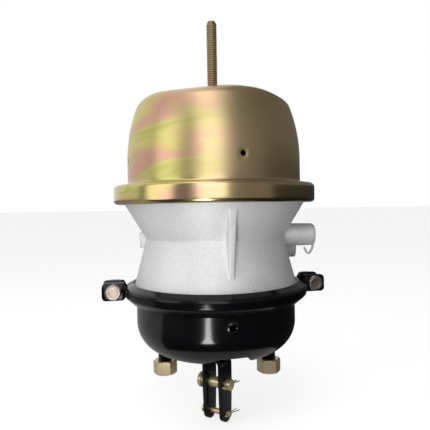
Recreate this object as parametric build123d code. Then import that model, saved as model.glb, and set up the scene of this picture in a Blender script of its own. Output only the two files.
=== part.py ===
"""Double-diaphragm spring brake chamber, 30/30 size, caged, as separate pieces. Millimetres.

The origin is the centre of the two mounting studs on the mounting face. +Z points away from the
bracket, along the push rod's axis; the studs lie on the X axis. Azimuths are in degrees about Z,
from the -Y side towards +X.
"""
from build123d import *
from math import asin, cos, hypot, radians, sin
import os

# Motion
stroke = 63.5
seat_gap = 0.3
running_gap = 0.05

# Service housing, the cup that bolts to the bracket
cup_wall = 3.2
cup_corner_r = 35.0
cup_flare_r = 2.0
cup_hole_r = 19.0
vent_r = 3.2
vent_z = 44.0
vent_azimuth = 10.5
dent_z = 10.9
dent_start_r = 31.0
dent_full_r = 44.0
dent_left = -17.0
dent_floor_left = 2.0
dent_floor_right = 31.0
dent_right = 36.5

# Mounting studs
stud_spacing = 120.65
stud_r = 7.94
stud_neck_r = 8.6
stud_thread_r = 7.6
stud_shank = 14.4
stud_pad_r = 16.5
stud_head_r = 12.5
stud_head_h = 5.0
stud_nut_flats = 23.8
stud_nut_h = 15.5

# Clamp band, a V channel in two halves
band_wall = 3.0
band_gap = 0.05
band_r = 104.5
band_low_reach = 10.9
band_low_z = 55.5
band_high_reach = 9.9
band_high_z = 78.7
band_face_low_z = 65.0
band_face_high_z = 74.0
band_round_r = 5.0
band_split = 6.0
ear_azimuth = 9.6
ear_length = 24.3
ear_bolt_reach = 11.5
ear_face = 13.0
ear_thickness = 5.0
ear_low_z = 60.9
ear_high_z = 80.5
ear_corner_r = 5.0
ear_bolt_z = 70.8
clamp_bolt_r = 5.55
clamp_bolt_gap = 0.4
clamp_head_r = 8.75
clamp_head_h = 6.5
clamp_nut_flats = 17.5
clamp_nut_h = 9.5
clamp_bolt_tail = 3.0

# Flanges in the clamp band
clamp_flange_reach = 4.5
cup_reach = 13.6
cup_flange_z = 67.0
case_flange_z = 70.0

# Flange case, the cast waist between the two chambers
case_low_reach = 12.5
case_low_z = 78.5
waist_r = 79.1
waist_z = 127.7
waist_round_r = 8.0
case_wall = 6.5
web_low_z = 117.0
web_high_z = 125.0
bowl_round_r = 8.0
hub_r = 24.0
hub_low_z = 107.0
hub_high_z = 136.0
hub_bore_r = 11.5
case_mouth_h = 13.5
rib_azimuth = 10.5
rib_thickness = 7.0
rib_low_z = 90.0
rib_high_z = 161.0
rib_low_r = 88.6
rib_high_r = 99.0
pad_reach = 6.9
pad_width = 25.0
pad_low_z = 117.0
pad_high_z = 135.0

# Air ports in the flange case
port_r = 7.3
port_depth = 16.0
port_drill_r = 4.0
boss_r = 13.1
boss_draft = 0.6
upper_port_z = 129.0
upper_port_reach = 34.2
lower_port_y = 30.0
lower_port_z = 112.4
lower_port_reach = 18.9

# Spring housing, the pressed dome
dome_wall = 3.0
rim_ledge = 15.6
rim_low_z = 166.5
rim_high_z = 187.6
rim_round_r = 4.5
crimp_width = 9.5
dome_r = 98.9
dome_taper_z = 215.0
dome_taper_r = 170.0
dome_shoulder_r = 22.0
crown_z = 287.5
crown_hole_r = 9.5
dome_vent_r = 2.5
dome_vent_z = 214.0
dome_vent_azimuth = 17.0
recess_azimuth = -13.5
recess_tilt = 38.0
recess_depth = 4.0
quarter_turns = 4

# Diaphragms
rubber = 3.0
service_dish_r = 71.0
service_dish_z = 100.7
service_skirt_reach = 20.0
bead_high_z = 184.4
bead_low_z = 179.2
spring_dish_r = 74.0
spring_dish_z = 234.0
skirt_gap = 2.0

# Spring plate, power spring and release bolt
plate_wall = 3.5
plate_gap = 9.9
plate_lip = 9.0
plate_hub_r = 20.0
plate_hub_h = 27.7
power_wire_r = 6.0
power_low_reach = 10.0
power_turns = 3.5
power_high_r = 48.0
bolt_r = 6.35
bolt_top_z = 380.5
tee_length = 24.0
tee_width = 10.5
tee_height = 6.5
washer_r = 17.0
washer_bore_r = 7.0
washer_h = 2.0
caging_nut_flats = 22.2
caging_nut_h = 10.0

# Adapter rod between the two chambers
rod_r = 11.1
rod_plate_r = 66.0
rod_plate_h = 3.0
rod_spigot_r = 8.0
foot_r = 30.0
foot_h = 5.0
screw_r = 4.0
screw_head_r = 8.0
screw_length = 22.0
seal_h = 2.9
seal_r = 13.9
seal_inset = 2.2
bushing_r = 13.5
bushing_h = 17.0
adapter_wire_r = 1.6
adapter_spring_r = 30.0
adapter_turns = 3.0
coil_steps = 12

# Push rod, its plate, guide and return spring
push_plate_r = 66.0
push_plate_h = 4.0
push_plate_lip = 3.0
push_rod_r = 7.94
guide_r = 28.5
guide_h = 3.0
return_wire_r = 2.2
return_low_r = 25.0
return_high_r = 44.0
return_turns = 3.5

# Clevis yoke and its pins
yoke_turn = 32.0
yoke_gap = 15.9
yoke_bar = 5.3
yoke_top_z = -7.75
yoke_width = 22.5
yoke_tip_width = 19.0
yoke_shoulder_z = -42.0
yoke_spigot_r = 6.0
large_pin_z = -42.0
large_pin_r = 6.35
large_pin_length = 38.1
large_pin_slack = 5.0
large_head_r = 9.0
large_head_h = 4.8
small_pin_z = -75.7
small_pin_r = 3.175
small_pin_length = 34.9
small_pin_slack = 4.0
small_head_r = 4.8
small_head_h = 2.6
pin_gap = 0.08
large_cotter_r = 1.5
large_cotter_tail = 17.0
large_cotter_inset = 2.9
small_cotter_r = 1.1
small_cotter_tail = 17.0
small_cotter_inset = 2.0
cotter_gap = 0.1

# Dust plug of the upper port
plug_flange_r = 11.5
plug_flange_h = 2.4
plug_depth = 11.0
plug_gap = 0.1
tab_drop = 12.0
tab_reach = 10.5
tab_band = 2.2
tab_width = 4.0

# Worked out from the sizes above
FULL_TURN = 360
band_low_r = band_r - band_low_reach
band_high_r = band_r - band_high_reach
clamp_flange_r = band_r - clamp_flange_reach
cup_r = band_r - cup_reach
ear_end_r = band_r + ear_length
ear_bolt_r = band_r + ear_bolt_reach
case_low_r = band_r - case_low_reach
service_skirt_r = band_r - service_skirt_reach
rim_r = dome_r + rim_ledge
rim_inside_r = rim_r - dome_wall
crimp_r = rim_r - crimp_width
case_high_r = crimp_r - 2 * seat_gap
case_top_flange_r = rim_inside_r - seat_gap
bead_r = rim_inside_r - 2 * seat_gap
plate_r = dome_r - dome_wall - plate_gap
power_low_r = plate_r - power_low_reach
case_mouth_r = dome_r - dome_wall - seat_gap
spring_skirt_r = case_mouth_r - skirt_gap
upper_port_end = waist_r + upper_port_reach
lower_port_end = waist_r + lower_port_reach
pad_end_x = -waist_r - pad_reach
split_turn = Rot(0, 0, ear_azimuth)
clevis_turn = Rot(0, 0, -yoke_turn)
yoke_half = yoke_gap / 2 + yoke_bar
yoke_bend_z = yoke_top_z - yoke_half
large_cotter_x = large_pin_length - large_pin_slack - yoke_half - large_cotter_inset
small_cotter_x = small_pin_length - small_pin_slack - yoke_half - small_cotter_inset
stud_x = stud_spacing / 2
foot_low_z = service_dish_z + seat_gap
foot_high_z = foot_low_z + foot_h
rod_plate_high_z = spring_dish_z - rubber - seat_gap
rod_plate_low_z = rod_plate_high_z - rod_plate_h
plate_low_z = spring_dish_z + seat_gap
plate_high_z = plate_low_z + plate_wall
hub_top_z = plate_low_z + plate_hub_h
push_plate_high_z = service_dish_z - rubber - seat_gap
push_plate_low_z = push_plate_high_z - push_plate_h
crown_inside_z = crown_z - dome_wall
guide_high_z = cup_wall + guide_h
dome_side = (dome_taper_r, dome_shoulder_r)


def section(*corners):
    """Closed outline in the radius and height plane; a third number rounds that corner."""
    sketch = make_face(Polyline(*[corner[:2] for corner in corners], close=True))
    for corner in corners:
        if len(corner) == 3:
            here = sketch.vertices().sort_by_distance(Vector(*corner[:2]))[0]
            sketch = fillet(here, corner[2])
    return sketch


def turned(sketch):
    """Solid of revolution about Z."""
    return revolve(Plane.XZ * sketch, Axis.Z)


def upright(radius, low, high, x=0.0, y=0.0):
    """Cylinder along Z between two heights."""
    return Pos(x, y, (low + high) / 2) * Cylinder(radius, high - low)


def across(radius, start, end, z):
    """Cylinder along X between two places, at a height."""
    return Pos((start + end) / 2, 0, z) * Rot(0, 90, 0) * Cylinder(radius, end - start)


def at_azimuth(angle):
    """Turns what was made on the -Y side to its azimuth."""
    return Rot(0, 0, angle)


def radial_hole(radius, height, azimuth, reach):
    """Cutter for a hole through a wall on the -Y side, turned to its azimuth."""
    drill = Pos(0, -reach, height) * Rot(90, 0, 0) * Cylinder(radius, reach)
    return at_azimuth(azimuth) * drill


def chamfered_hex(flats, height, bore_r, low):
    """Hexagon nut with both faces chamfered, standing on a height."""
    corner_r = flats / 3**0.5
    drop = (corner_r - flats / 2) * 0.6
    blank = extrude(RegularPolygon(corner_r, 6, rotation=30), height)
    turned_blank = turned(
        section(
            (0, 0), (flats / 2, 0), (corner_r, drop), (corner_r, height - drop),
            (flats / 2, height), (0, height),
        )
    )
    return Pos(0, 0, low) * ((blank & turned_blank) - upright(bore_r, 0, height))


def inset(chain, distance):
    """Open chain of points moved to its left by a distance, with mitred corners."""
    moved = []
    for (x0, y0), (x1, y1) in zip(chain, chain[1:]):
        length = hypot(x1 - x0, y1 - y0)
        shift = (-(y1 - y0) * distance / length, (x1 - x0) * distance / length)
        moved.append(((x0 + shift[0], y0 + shift[1]), (x1 + shift[0], y1 + shift[1])))
    joined = [moved[0][0]]
    for (a, b), (c, d) in zip(moved, moved[1:]):
        first = (b[0] - a[0], b[1] - a[1])
        second = (d[0] - c[0], d[1] - c[1])
        cross = first[0] * second[1] - first[1] * second[0]
        share = ((c[0] - a[0]) * second[1] - (c[1] - a[1]) * second[0]) / cross
        joined.append((a[0] + first[0] * share, a[1] + first[1] * share))
    return joined + [moved[-1][1]]


def height_on(start, end, radius):
    """Height of the line between two points at a radius."""
    return start[1] + (end[1] - start[1]) * (radius - start[0]) / (end[0] - start[0])


band_outside = [
    (band_low_r, band_low_z),
    (band_r, band_face_low_z),
    (band_r, band_face_high_z),
    (band_high_r, band_high_z),
]
band_inside = inset(band_outside, band_wall)
band_seat = inset(band_outside, band_wall + band_gap)
cup_flange_low_z = height_on(band_seat[0], band_seat[1], clamp_flange_r)
case_flange_high_z = height_on(band_seat[2], band_seat[3], clamp_flange_r)


def coil(low, high, low_r, high_r, wire_r, turns):
    """Compression spring of round wire between two seats, swept in short straight lengths."""
    steps = round(turns * coil_steps)
    points = []
    for step in range(steps + 1):
        share = step / steps
        angle = radians(FULL_TURN * turns * share)
        radius = low_r + (high_r - low_r) * share
        height = low + wire_r + (high - low - 2 * wire_r) * share
        points.append((radius * cos(angle), radius * sin(angle), height))
    path = Polyline(*points)
    start = Plane(origin=path @ 0, z_dir=path % 0)
    return sweep(start * Circle(wire_r), path=path, transition=Transition.RIGHT)


def dent_cutter(wall):
    """Channel pressed up into the cup's floor and near corner, grown by the sheet's thickness."""
    deep = 3.0
    left_run = (dent_floor_left - dent_left) * deep
    right_run = (dent_right - dent_floor_right) * deep
    width = [
        (dent_left - left_run, -deep * dent_z),
        (dent_floor_left, dent_z),
        (dent_floor_right, dent_z),
        (dent_right + right_run, -deep * dent_z),
    ]
    length = [
        (dent_start_r - deep * (dent_full_r - dent_start_r), -deep * dent_z),
        (dent_full_r, dent_z),
        (2 * cup_r, dent_z),
    ]
    width_face = make_face(Polyline(*inset(width, wall), close=True))
    length_chain = inset(length, wall)
    length_face = make_face(Polyline(*length_chain, (2 * cup_r, -deep * dent_z), close=True))
    along_dent = Plane(origin=(0, 0, 0), x_dir=(0, -1, 0), z_dir=(-1, 0, 0))
    block = extrude(Plane.XZ * width_face, 2 * cup_r, both=True)
    return block & extrude(along_dent * length_face, 2 * cup_r, both=True)


def service_housing():
    """Pressed cup with a dented corner, flat stud pads, vents and a flared clamping flange."""
    outer = turned(
        section(
            (0, 0), (cup_r, 0, cup_corner_r),
            (cup_r, height_on(band_seat[0], band_seat[1], cup_r), cup_flare_r),
            (clamp_flange_r, cup_flange_low_z), (clamp_flange_r, cup_flange_z), (0, cup_flange_z),
        )
    )
    flare_z = height_on(band_seat[0], band_seat[1], cup_r) + cup_wall
    inside_r = cup_r - cup_wall
    mouth_r = inside_r + (cup_flange_z - flare_z) * (clamp_flange_r - cup_r) / (
        cup_flange_low_z - flare_z + cup_wall
    )
    inner = turned(
        section(
            (0, cup_wall), (inside_r, cup_wall, cup_corner_r - cup_wall),
            (inside_r, flare_z, cup_flare_r + cup_wall), (mouth_r, cup_flange_z),
            (mouth_r, cup_flange_z + cup_wall), (0, cup_flange_z + cup_wall),
        )
    )
    outer -= dent_cutter(0)
    inner -= dent_cutter(cup_wall)
    for side in (-1, 1):
        outer += upright(stud_pad_r, 0, cup_corner_r, side * stud_x)
        inner += upright(stud_pad_r - cup_wall, cup_wall, cup_corner_r, side * stud_x)
    shell = outer - inner
    for side in (-1, 1):
        shell -= upright(stud_neck_r, -1, cup_wall + 1, side * stud_x)
    shell -= upright(cup_hole_r, -1, cup_wall + 1)
    for half in (0, 180):
        shell -= radial_hole(vent_r, vent_z, vent_azimuth + half, cup_r)
    return shell


def mounting_studs():
    """Two pressed-in studs: head inside the cup, ribbed neck, shank and threaded end."""
    end = -stud_shank - stud_nut_h
    stud = upright(stud_head_r, cup_wall, cup_wall + stud_head_h)
    stud += upright(stud_neck_r, 0, cup_wall)
    stud += upright(stud_r, -stud_shank, 0)
    stud += upright(stud_thread_r, end, -stud_shank)
    stud = chamfer(stud.faces().sort_by(Axis.Z)[0].edges(), 1.2)
    return [Pos(side * stud_x, 0, 0) * stud for side in (-1, 1)]


def stud_nuts():
    """Hexagon nuts run down to the ends of the studs."""
    nut = chamfered_hex(stud_nut_flats, stud_nut_h, stud_thread_r, -stud_shank - stud_nut_h)
    return [Pos(side * stud_x, 0, 0) * nut for side in (-1, 1)]


def clamp_half(side):
    """Half of the V band with an upright ear at each end; side -1 is the near half."""
    corners = [
        band_outside[0], (*band_outside[1], band_round_r), (*band_outside[2], band_round_r),
        band_outside[3], *reversed(band_inside),
    ]
    ring = turned(section(*corners))
    cavity = turned(
        section((cup_r, band_inside[0][1]), *band_inside, (cup_r, band_inside[3][1]))
    )
    half_space = Pos(0, side * (ear_end_r + band_split) / 2, 0) * Box(
        3 * ear_end_r, ear_end_r, 4 * ear_end_r
    )
    half = ring & half_space
    start_r = band_inside[1][0]
    for end in (-1, 1):
        plate = make_face(
            Polyline(
                (end * start_r, ear_low_z), (end * ear_end_r, ear_low_z),
                (end * ear_end_r, ear_high_z), (end * start_r, ear_high_z), close=True,
            )
        )
        rounded = plate.vertices().sort_by(Axis.X)[-2:] if end > 0 else plate.vertices().sort_by(Axis.X)[:2]
        plate = fillet(rounded, ear_corner_r)
        face_y = side * (ear_face - ear_thickness / 2)
        ear = Pos(0, face_y, 0) * extrude(Plane.XZ * plate, ear_thickness / 2, both=True)
        hole = Pos(end * ear_bolt_r, face_y, ear_bolt_z) * Rot(90, 0, 0) * Cylinder(
            clamp_bolt_r + clamp_bolt_gap, 2 * ear_thickness
        )
        half += ear - cavity - hole
    return split_turn * half


def clamp_bolts():
    """Round-headed bolts through both ears, heads on the near side."""
    tail = ear_face + clamp_nut_h + clamp_bolt_tail
    shank = Pos(0, (tail - ear_face) / 2, 0) * Rot(90, 0, 0) * Cylinder(clamp_bolt_r, tail + ear_face)
    head = Rot(90, 0, 0) * Cylinder(clamp_head_r, clamp_head_h)
    head = chamfer(head.faces().sort_by(Axis.Y)[0].edges(), 1.5)
    bolt = shank + Pos(0, -ear_face - clamp_head_h / 2, 0) * head
    return [split_turn * Pos(end * ear_bolt_r, 0, ear_bolt_z) * bolt for end in (-1, 1)]


def clamp_nuts():
    """Hexagon nuts on the clamp bolts, behind the far ears."""
    nut = chamfered_hex(clamp_nut_flats, clamp_nut_h, clamp_bolt_r, 0)
    turned_nut = Pos(0, ear_face, 0) * Rot(-90, 0, 0) * nut
    return [split_turn * Pos(end * ear_bolt_r, 0, ear_bolt_z) * turned_nut for end in (-1, 1)]


def port_boss(end, y, z):
    """Round boss along +X with a little draft, from inside the case to its end face."""
    start = 0.6 * waist_r
    blank = extrude(Plane.YZ * Circle(boss_r), end - start, taper=boss_draft)
    return Pos(start, y, z) * blank


def port_bore(end, y, z, inner_x):
    """Tapped port and the drilled way to its chamber."""
    tapped = across(port_r, end - port_depth, end + 1, z)
    drilled = across(port_drill_r, inner_x, end, z)
    return Pos(0, y, 0) * (tapped + drilled)


def flange_case():
    """Cast waist: two bowls back to back, a hub for the rod, ribs, two ports and a blank pad."""
    mouth_z = bead_low_z - seat_gap / 2
    flange_low_z = rim_low_z + dome_wall
    outer = turned(
        section(
            (0, case_flange_z), (clamp_flange_r, case_flange_z),
            (clamp_flange_r, case_flange_high_z), band_seat[3], (case_low_r, case_low_z),
            (waist_r, waist_z, waist_round_r), (case_high_r, flange_low_z),
            (case_top_flange_r, flange_low_z), (case_top_flange_r, mouth_z), (0, mouth_z),
        )
    )
    rib = make_face(
        Polyline(
            (hub_r, rib_low_z), (rib_low_r, rib_low_z), (rib_high_r, rib_high_z),
            (hub_r, rib_high_z), close=True,
        )
    )
    for half in (0, 180):
        web = extrude(Plane.XZ * rib, rib_thickness / 2, both=True)
        outer += at_azimuth(rib_azimuth - 90 + half) * web
    outer += port_boss(upper_port_end, 0, upper_port_z)
    outer += port_boss(lower_port_end, lower_port_y, lower_port_z)
    pad_x = pad_end_x / 2
    outer += Pos(pad_x, 0, (pad_low_z + pad_high_z) / 2) * Box(
        -pad_end_x, pad_width, pad_high_z - pad_low_z
    )
    lower_slope = (case_low_r - waist_r) / (waist_z - case_low_z)
    upper_slope = (case_high_r - waist_r) / (flange_low_z - waist_z)
    ceiling_r = waist_r - case_wall + lower_slope * (waist_z - web_low_z)
    lower_mouth_r = waist_r - case_wall + lower_slope * (waist_z - case_flange_z)
    floor_r = case_mouth_r - upper_slope * (mouth_z - case_mouth_h - web_high_z)
    below = turned(
        section(
            (0, case_flange_z - 1), (lower_mouth_r, case_flange_z - 1),
            (lower_mouth_r, case_flange_z), (ceiling_r, web_low_z, bowl_round_r),
            (hub_r, web_low_z), (hub_r, hub_low_z), (0, hub_low_z),
        )
    )
    above = turned(
        section(
            (0, mouth_z + 1), (case_mouth_r, mouth_z + 1),
            (case_mouth_r, mouth_z - case_mouth_h), (floor_r, web_high_z, bowl_round_r),
            (hub_r, web_high_z), (hub_r, hub_high_z), (0, hub_high_z),
        )
    )
    case = outer - below - above
    case -= upright(hub_bore_r, hub_low_z - 1, hub_high_z + 1)
    for low, high, radius in rod_grooves():
        case -= upright(radius, low, high)
    case -= port_bore(upper_port_end, 0, upper_port_z, floor_r - 2 * bowl_round_r)
    case -= port_bore(lower_port_end, lower_port_y, lower_port_z, ceiling_r - 3 * bowl_round_r)
    return case


def rod_grooves():
    """Grooves in the hub: one seal, the bushing, the other seal, as low, high and radius."""
    middle = (hub_low_z + hub_high_z) / 2
    return [
        (hub_low_z + seal_inset, hub_low_z + seal_inset + seal_h, seal_r),
        (middle - bushing_h / 2, middle + bushing_h / 2, bushing_r),
        (hub_high_z - seal_inset - seal_h, hub_high_z - seal_inset, seal_r),
    ]


def rod_bushing():
    """Nylon bearing in the hub's wide groove."""
    low, high, radius = rod_grooves()[1]
    return upright(radius, low, high) - upright(rod_r + running_gap, low, high)


def rod_seals():
    """Two rubber seals round the adapter rod."""
    rings = []
    for low, high, radius in rod_grooves()[::2]:
        ring = section(
            (rod_r + running_gap, (low + high) / 2), ((rod_r + radius) / 2, low), (radius, low),
            (radius, high), ((rod_r + radius) / 2, high),
        )
        rings.append(turned(ring))
    return rings


def dome_outline(wall, low_z, foot):
    """Half outline of the dome, moved in by a wall; foot is the chain below its side."""
    side_r = dome_r - wall
    shoulder = dome_shoulder_r - wall
    top = crown_z - wall
    taper = dome_taper_r - wall
    lean = asin((top - shoulder - dome_taper_z) / (taper - shoulder))
    centre = (side_r - taper, dome_taper_z)
    bend = (centre[0] + taper * cos(lean), centre[1] + taper * sin(lean))
    middle = (centre[0] + taper * cos(lean / 2), centre[1] + taper * sin(lean / 2))
    hub = (bend[0] - shoulder * cos(lean), bend[1] - shoulder * sin(lean))
    halfway = (lean + radians(90)) / 2
    crest = (hub[0] + shoulder * cos(halfway), hub[1] + shoulder * sin(halfway))
    lines = [
        Polyline(*foot, (side_r, dome_taper_z)),
        ThreePointArc((side_r, dome_taper_z), middle, bend),
        ThreePointArc(bend, crest, (hub[0], top)),
        Polyline((hub[0], top), (0, top), (0, low_z), foot[0]),
    ]
    return make_face(lines)


def recess_cutters(wall):
    """Four slanting blocks that flatten the crown's shoulder."""
    lean = asin((crown_z - dome_shoulder_r - dome_taper_z) / (dome_taper_r - dome_shoulder_r))
    centre_r = dome_r - (dome_taper_r - dome_shoulder_r) * (1 - cos(lean)) - dome_shoulder_r
    centre_z = crown_z - dome_shoulder_r
    reach = dome_shoulder_r - recess_depth - wall
    tilt = radians(90 - recess_tilt)
    face = (0, -centre_r - reach * cos(tilt), centre_z + reach * sin(tilt))
    block = Plane(origin=face, x_dir=(1, 0, 0), z_dir=(0, -cos(tilt), sin(tilt))) * Pos(
        0, 0, dome_shoulder_r
    ) * Box(2 * dome_r, 2 * dome_shoulder_r, 2 * dome_shoulder_r)
    step = FULL_TURN / quarter_turns
    return [at_azimuth(recess_azimuth + step * n) * block for n in range(quarter_turns)]


def spring_housing():
    """Pressed dome, its crown flattened in four places, rolled round the case's flange."""
    low = rim_low_z
    corner = rim_round_r
    outer_foot = [(crimp_r, low), (rim_r, low), (rim_r, rim_high_z), (dome_r, rim_high_z)]
    outer = turned(dome_outline(0, low, outer_foot))
    rim_edges = outer.edges().filter_by(GeomType.CIRCLE)
    rim_edges = [edge for edge in rim_edges if abs(edge.radius - rim_r) < 0.01]
    outer = fillet(rim_edges, corner)
    foot_edge = [
        edge for edge in outer.edges().filter_by(GeomType.CIRCLE)
        if abs(edge.radius - dome_r) < 0.01 and abs(edge.center().Z - rim_high_z) < 0.01
    ]
    outer = fillet(foot_edge, 0.8 * corner)
    inside_low = low - 1
    floor_z = low + dome_wall
    inner_foot = [
        (rim_r - dome_wall, floor_z), (rim_r - dome_wall, rim_high_z - dome_wall),
        (dome_r - dome_wall, rim_high_z - dome_wall),
    ]
    inner = turned(dome_outline(dome_wall, floor_z, inner_foot))
    for block in recess_cutters(0):
        outer -= block
    for block in recess_cutters(dome_wall):
        inner -= block
    shell = outer - inner - upright(crimp_r, inside_low, floor_z + 1)
    shell -= upright(crown_hole_r, crown_inside_z - 1, crown_z + 1)
    for n in range(quarter_turns):
        azimuth = dome_vent_azimuth + n * FULL_TURN / quarter_turns
        shell -= radial_hole(dome_vent_r, dome_vent_z, azimuth, dome_r)
    return shell


def service_diaphragm():
    """Moulded rubber dish, its bead held between the clamped flanges."""
    skirt_r = service_skirt_r - rubber
    low = cup_flange_z + seat_gap / 2
    high = case_flange_z - seat_gap / 2
    return turned(
        section(
            (clamp_flange_r, low), (clamp_flange_r, high), (service_skirt_r, high),
            (service_dish_r, service_dish_z), (0, service_dish_z),
            (0, service_dish_z - rubber), (service_dish_r - rubber, service_dish_z - rubber),
            (skirt_r, low),
        )
    )


def spring_diaphragm():
    """Moulded rubber dish under the spring plate, its bead held in the rolled rim."""
    skirt_r = spring_skirt_r - rubber
    return turned(
        section(
            (bead_r, bead_low_z), (bead_r, bead_high_z), (spring_skirt_r, bead_high_z),
            (spring_dish_r, spring_dish_z), (0, spring_dish_z), (0, spring_dish_z - rubber),
            (spring_dish_r - rubber, spring_dish_z - rubber), (skirt_r, bead_low_z),
        )
    )


def spring_plate():
    """Pressed plate under the power spring, with a hub that holds the release bolt's tee."""
    inner_r = plate_hub_r - plate_wall
    body = turned(
        section(
            (inner_r, plate_low_z), (plate_r, plate_low_z, plate_wall),
            (plate_r, plate_low_z + plate_lip), (plate_r - plate_wall, plate_low_z + plate_lip),
            (plate_r - plate_wall, plate_high_z), (plate_hub_r, plate_high_z),
            (plate_hub_r, hub_top_z, plate_wall), (0, hub_top_z),
            (0, hub_top_z - plate_wall), (inner_r, hub_top_z - plate_wall),
        )
    )
    slot = Pos(0, 0, hub_top_z) * Box(tee_length + 1, 2 * bolt_r + 1, 3 * plate_wall)
    return body - slot


def caging_bolt():
    """Release bolt, its tee turned across the hub's slot and its rounded end on top."""
    tee_high_z = hub_top_z - plate_wall
    shank = upright(bolt_r, tee_high_z - tee_height, bolt_top_z)
    shank = fillet(shank.faces().sort_by(Axis.Z)[-1].edges(), 0.4 * bolt_r)
    tee = Pos(0, 0, tee_high_z - tee_height / 2) * Box(tee_width, tee_length, tee_height)
    return shank + tee


def caging_washer():
    """Thick washer on the crown round the release bolt."""
    return upright(washer_r, crown_z, crown_z + washer_h) - upright(
        washer_bore_r, crown_z, crown_z + washer_h
    )


def caging_nut():
    """Nut that holds the release bolt drawn out of the crown."""
    return chamfered_hex(
        caging_nut_flats, caging_nut_h, bolt_r + running_gap, crown_z + washer_h
    )


def power_spring():
    """Heavy conical spring, compressed between the plate and the crown."""
    return coil(
        plate_high_z, crown_inside_z, power_low_r, power_high_r, power_wire_r, power_turns
    )


def adapter_rod():
    """Rod through the hub, with a spigot riveted in the rod plate and a tapped foot end."""
    rod = upright(rod_r, foot_high_z, rod_plate_low_z)
    rod += upright(rod_spigot_r, rod_plate_low_z, rod_plate_high_z)
    return rod - upright(screw_r, foot_high_z, foot_low_z + screw_length)


def rod_plate():
    """Disc under the spring diaphragm that the adapter rod is riveted to."""
    disc = upright(rod_plate_r, rod_plate_low_z, rod_plate_high_z)
    disc = fillet(disc.edges().sort_by(Axis.Z)[0], 0.6 * rod_plate_h)
    return disc - upright(rod_spigot_r, rod_plate_low_z, rod_plate_high_z)


def adapter_spring():
    """Light spring that lifts the rod plate off the web."""
    return coil(
        web_high_z, rod_plate_low_z, adapter_spring_r, adapter_spring_r,
        adapter_wire_r, adapter_turns,
    )


def foot_outline():
    """Countersunk screw outline, shared by the screw and its seat in the foot."""
    return section(
        (0, foot_low_z), (screw_head_r, foot_low_z),
        (screw_r, foot_low_z + screw_head_r - screw_r), (screw_r, foot_low_z + screw_length),
        (0, foot_low_z + screw_length),
    )


def rod_foot():
    """Disc on the adapter rod's lower end that bears on the service diaphragm."""
    foot = upright(foot_r, foot_low_z, foot_high_z)
    foot = chamfer(foot.edges().sort_by(Axis.Z)[-1], 0.4 * foot_h)
    return foot - turned(foot_outline())


def foot_screw():
    """Countersunk screw that holds the foot on the rod."""
    return turned(foot_outline())


def push_plate():
    """Disc on top of the push rod with its edge turned down."""
    lip_r = push_plate_r - push_plate_h
    return turned(
        section(
            (0, push_plate_low_z), (0, push_plate_high_z),
            (push_plate_r, push_plate_high_z, push_plate_lip),
            (push_plate_r, push_plate_low_z - push_plate_lip),
            (lip_r, push_plate_low_z - push_plate_lip), (lip_r, push_plate_low_z),
        )
    )


def push_rod():
    """Rod through the cup's floor, saddled on the yoke's bend with a spigot through it."""
    rod = upright(push_rod_r, yoke_bend_z, push_plate_low_z)
    bend = Pos(0, 0, yoke_bend_z) * Rot(90, 0, 0) * Cylinder(yoke_half, 3 * yoke_width)
    rod -= clevis_turn * bend
    spigot_low = yoke_top_z - yoke_bar - 1.0
    return rod + upright(yoke_spigot_r, spigot_low, yoke_top_z + 1)


def rod_guide():
    """Nylon guide that floats on the cup's floor under the return spring."""
    return upright(guide_r, cup_wall, guide_high_z) - upright(
        push_rod_r + seat_gap, cup_wall, guide_high_z
    )


def return_spring():
    """Conical spring between the guide and the push plate."""
    return coil(
        guide_high_z, push_plate_low_z, return_low_r, return_high_r,
        return_wire_r, return_turns,
    )


def clevis_yoke():
    """U bent from flat bar, its ears tapered to round tips and drilled for two pins."""
    tip_r = yoke_tip_width / 2
    tip_z = small_pin_z - tip_r
    half_gap = yoke_gap / 2
    bow = Pos(0, yoke_bend_z) * Circle(yoke_half)
    bow += Pos(0, (yoke_bend_z + tip_z) / 2) * Rectangle(2 * yoke_half, yoke_bend_z - tip_z)
    bow -= Pos(0, yoke_bend_z) * Circle(half_gap)
    bow -= Pos(0, (yoke_bend_z + tip_z) / 2 - 1) * Rectangle(yoke_gap, yoke_bend_z - tip_z + 2)
    strap = extrude(Plane.XZ * bow, yoke_width / 2, both=True)
    half = yoke_width / 2
    side = make_face(
        Polyline(
            (-half, yoke_top_z), (-half, yoke_shoulder_z), (-tip_r, small_pin_z),
            (tip_r, small_pin_z), (half, yoke_shoulder_z), (half, yoke_top_z), close=True,
        )
    )
    side += Pos(0, small_pin_z) * Circle(tip_r)
    yoke = strap & extrude(Plane.YZ * side, 2 * yoke_half, both=True)
    yoke -= upright(yoke_spigot_r, yoke_bend_z, yoke_top_z + 1)
    yoke -= across(large_pin_r + pin_gap, -2 * yoke_half, 2 * yoke_half, large_pin_z)
    yoke -= across(small_pin_r + pin_gap, -2 * yoke_half, 2 * yoke_half, small_pin_z)
    return clevis_turn * yoke


def headed_pin(radius, length, head_r, head_h, slack, z, cotter_r, cotter_x):
    """Clevis pin along the ears' axis, its head on the left and a cross hole on the right."""
    under = -yoke_half - slack
    shank = across(radius, under, under + length, z)
    shank = chamfer(shank.faces().sort_by(Axis.X)[-1].edges(), 0.15 * radius + 0.3)
    head = across(head_r, under - head_h, under, z)
    head = fillet(head.faces().sort_by(Axis.X)[0].edges(), 0.3 * head_h)
    hole = Pos(cotter_x, 0, z) * Rot(90, 0, 0) * Cylinder(
        cotter_r + cotter_gap, 3 * radius
    )
    return clevis_turn * (shank + head - hole)


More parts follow.
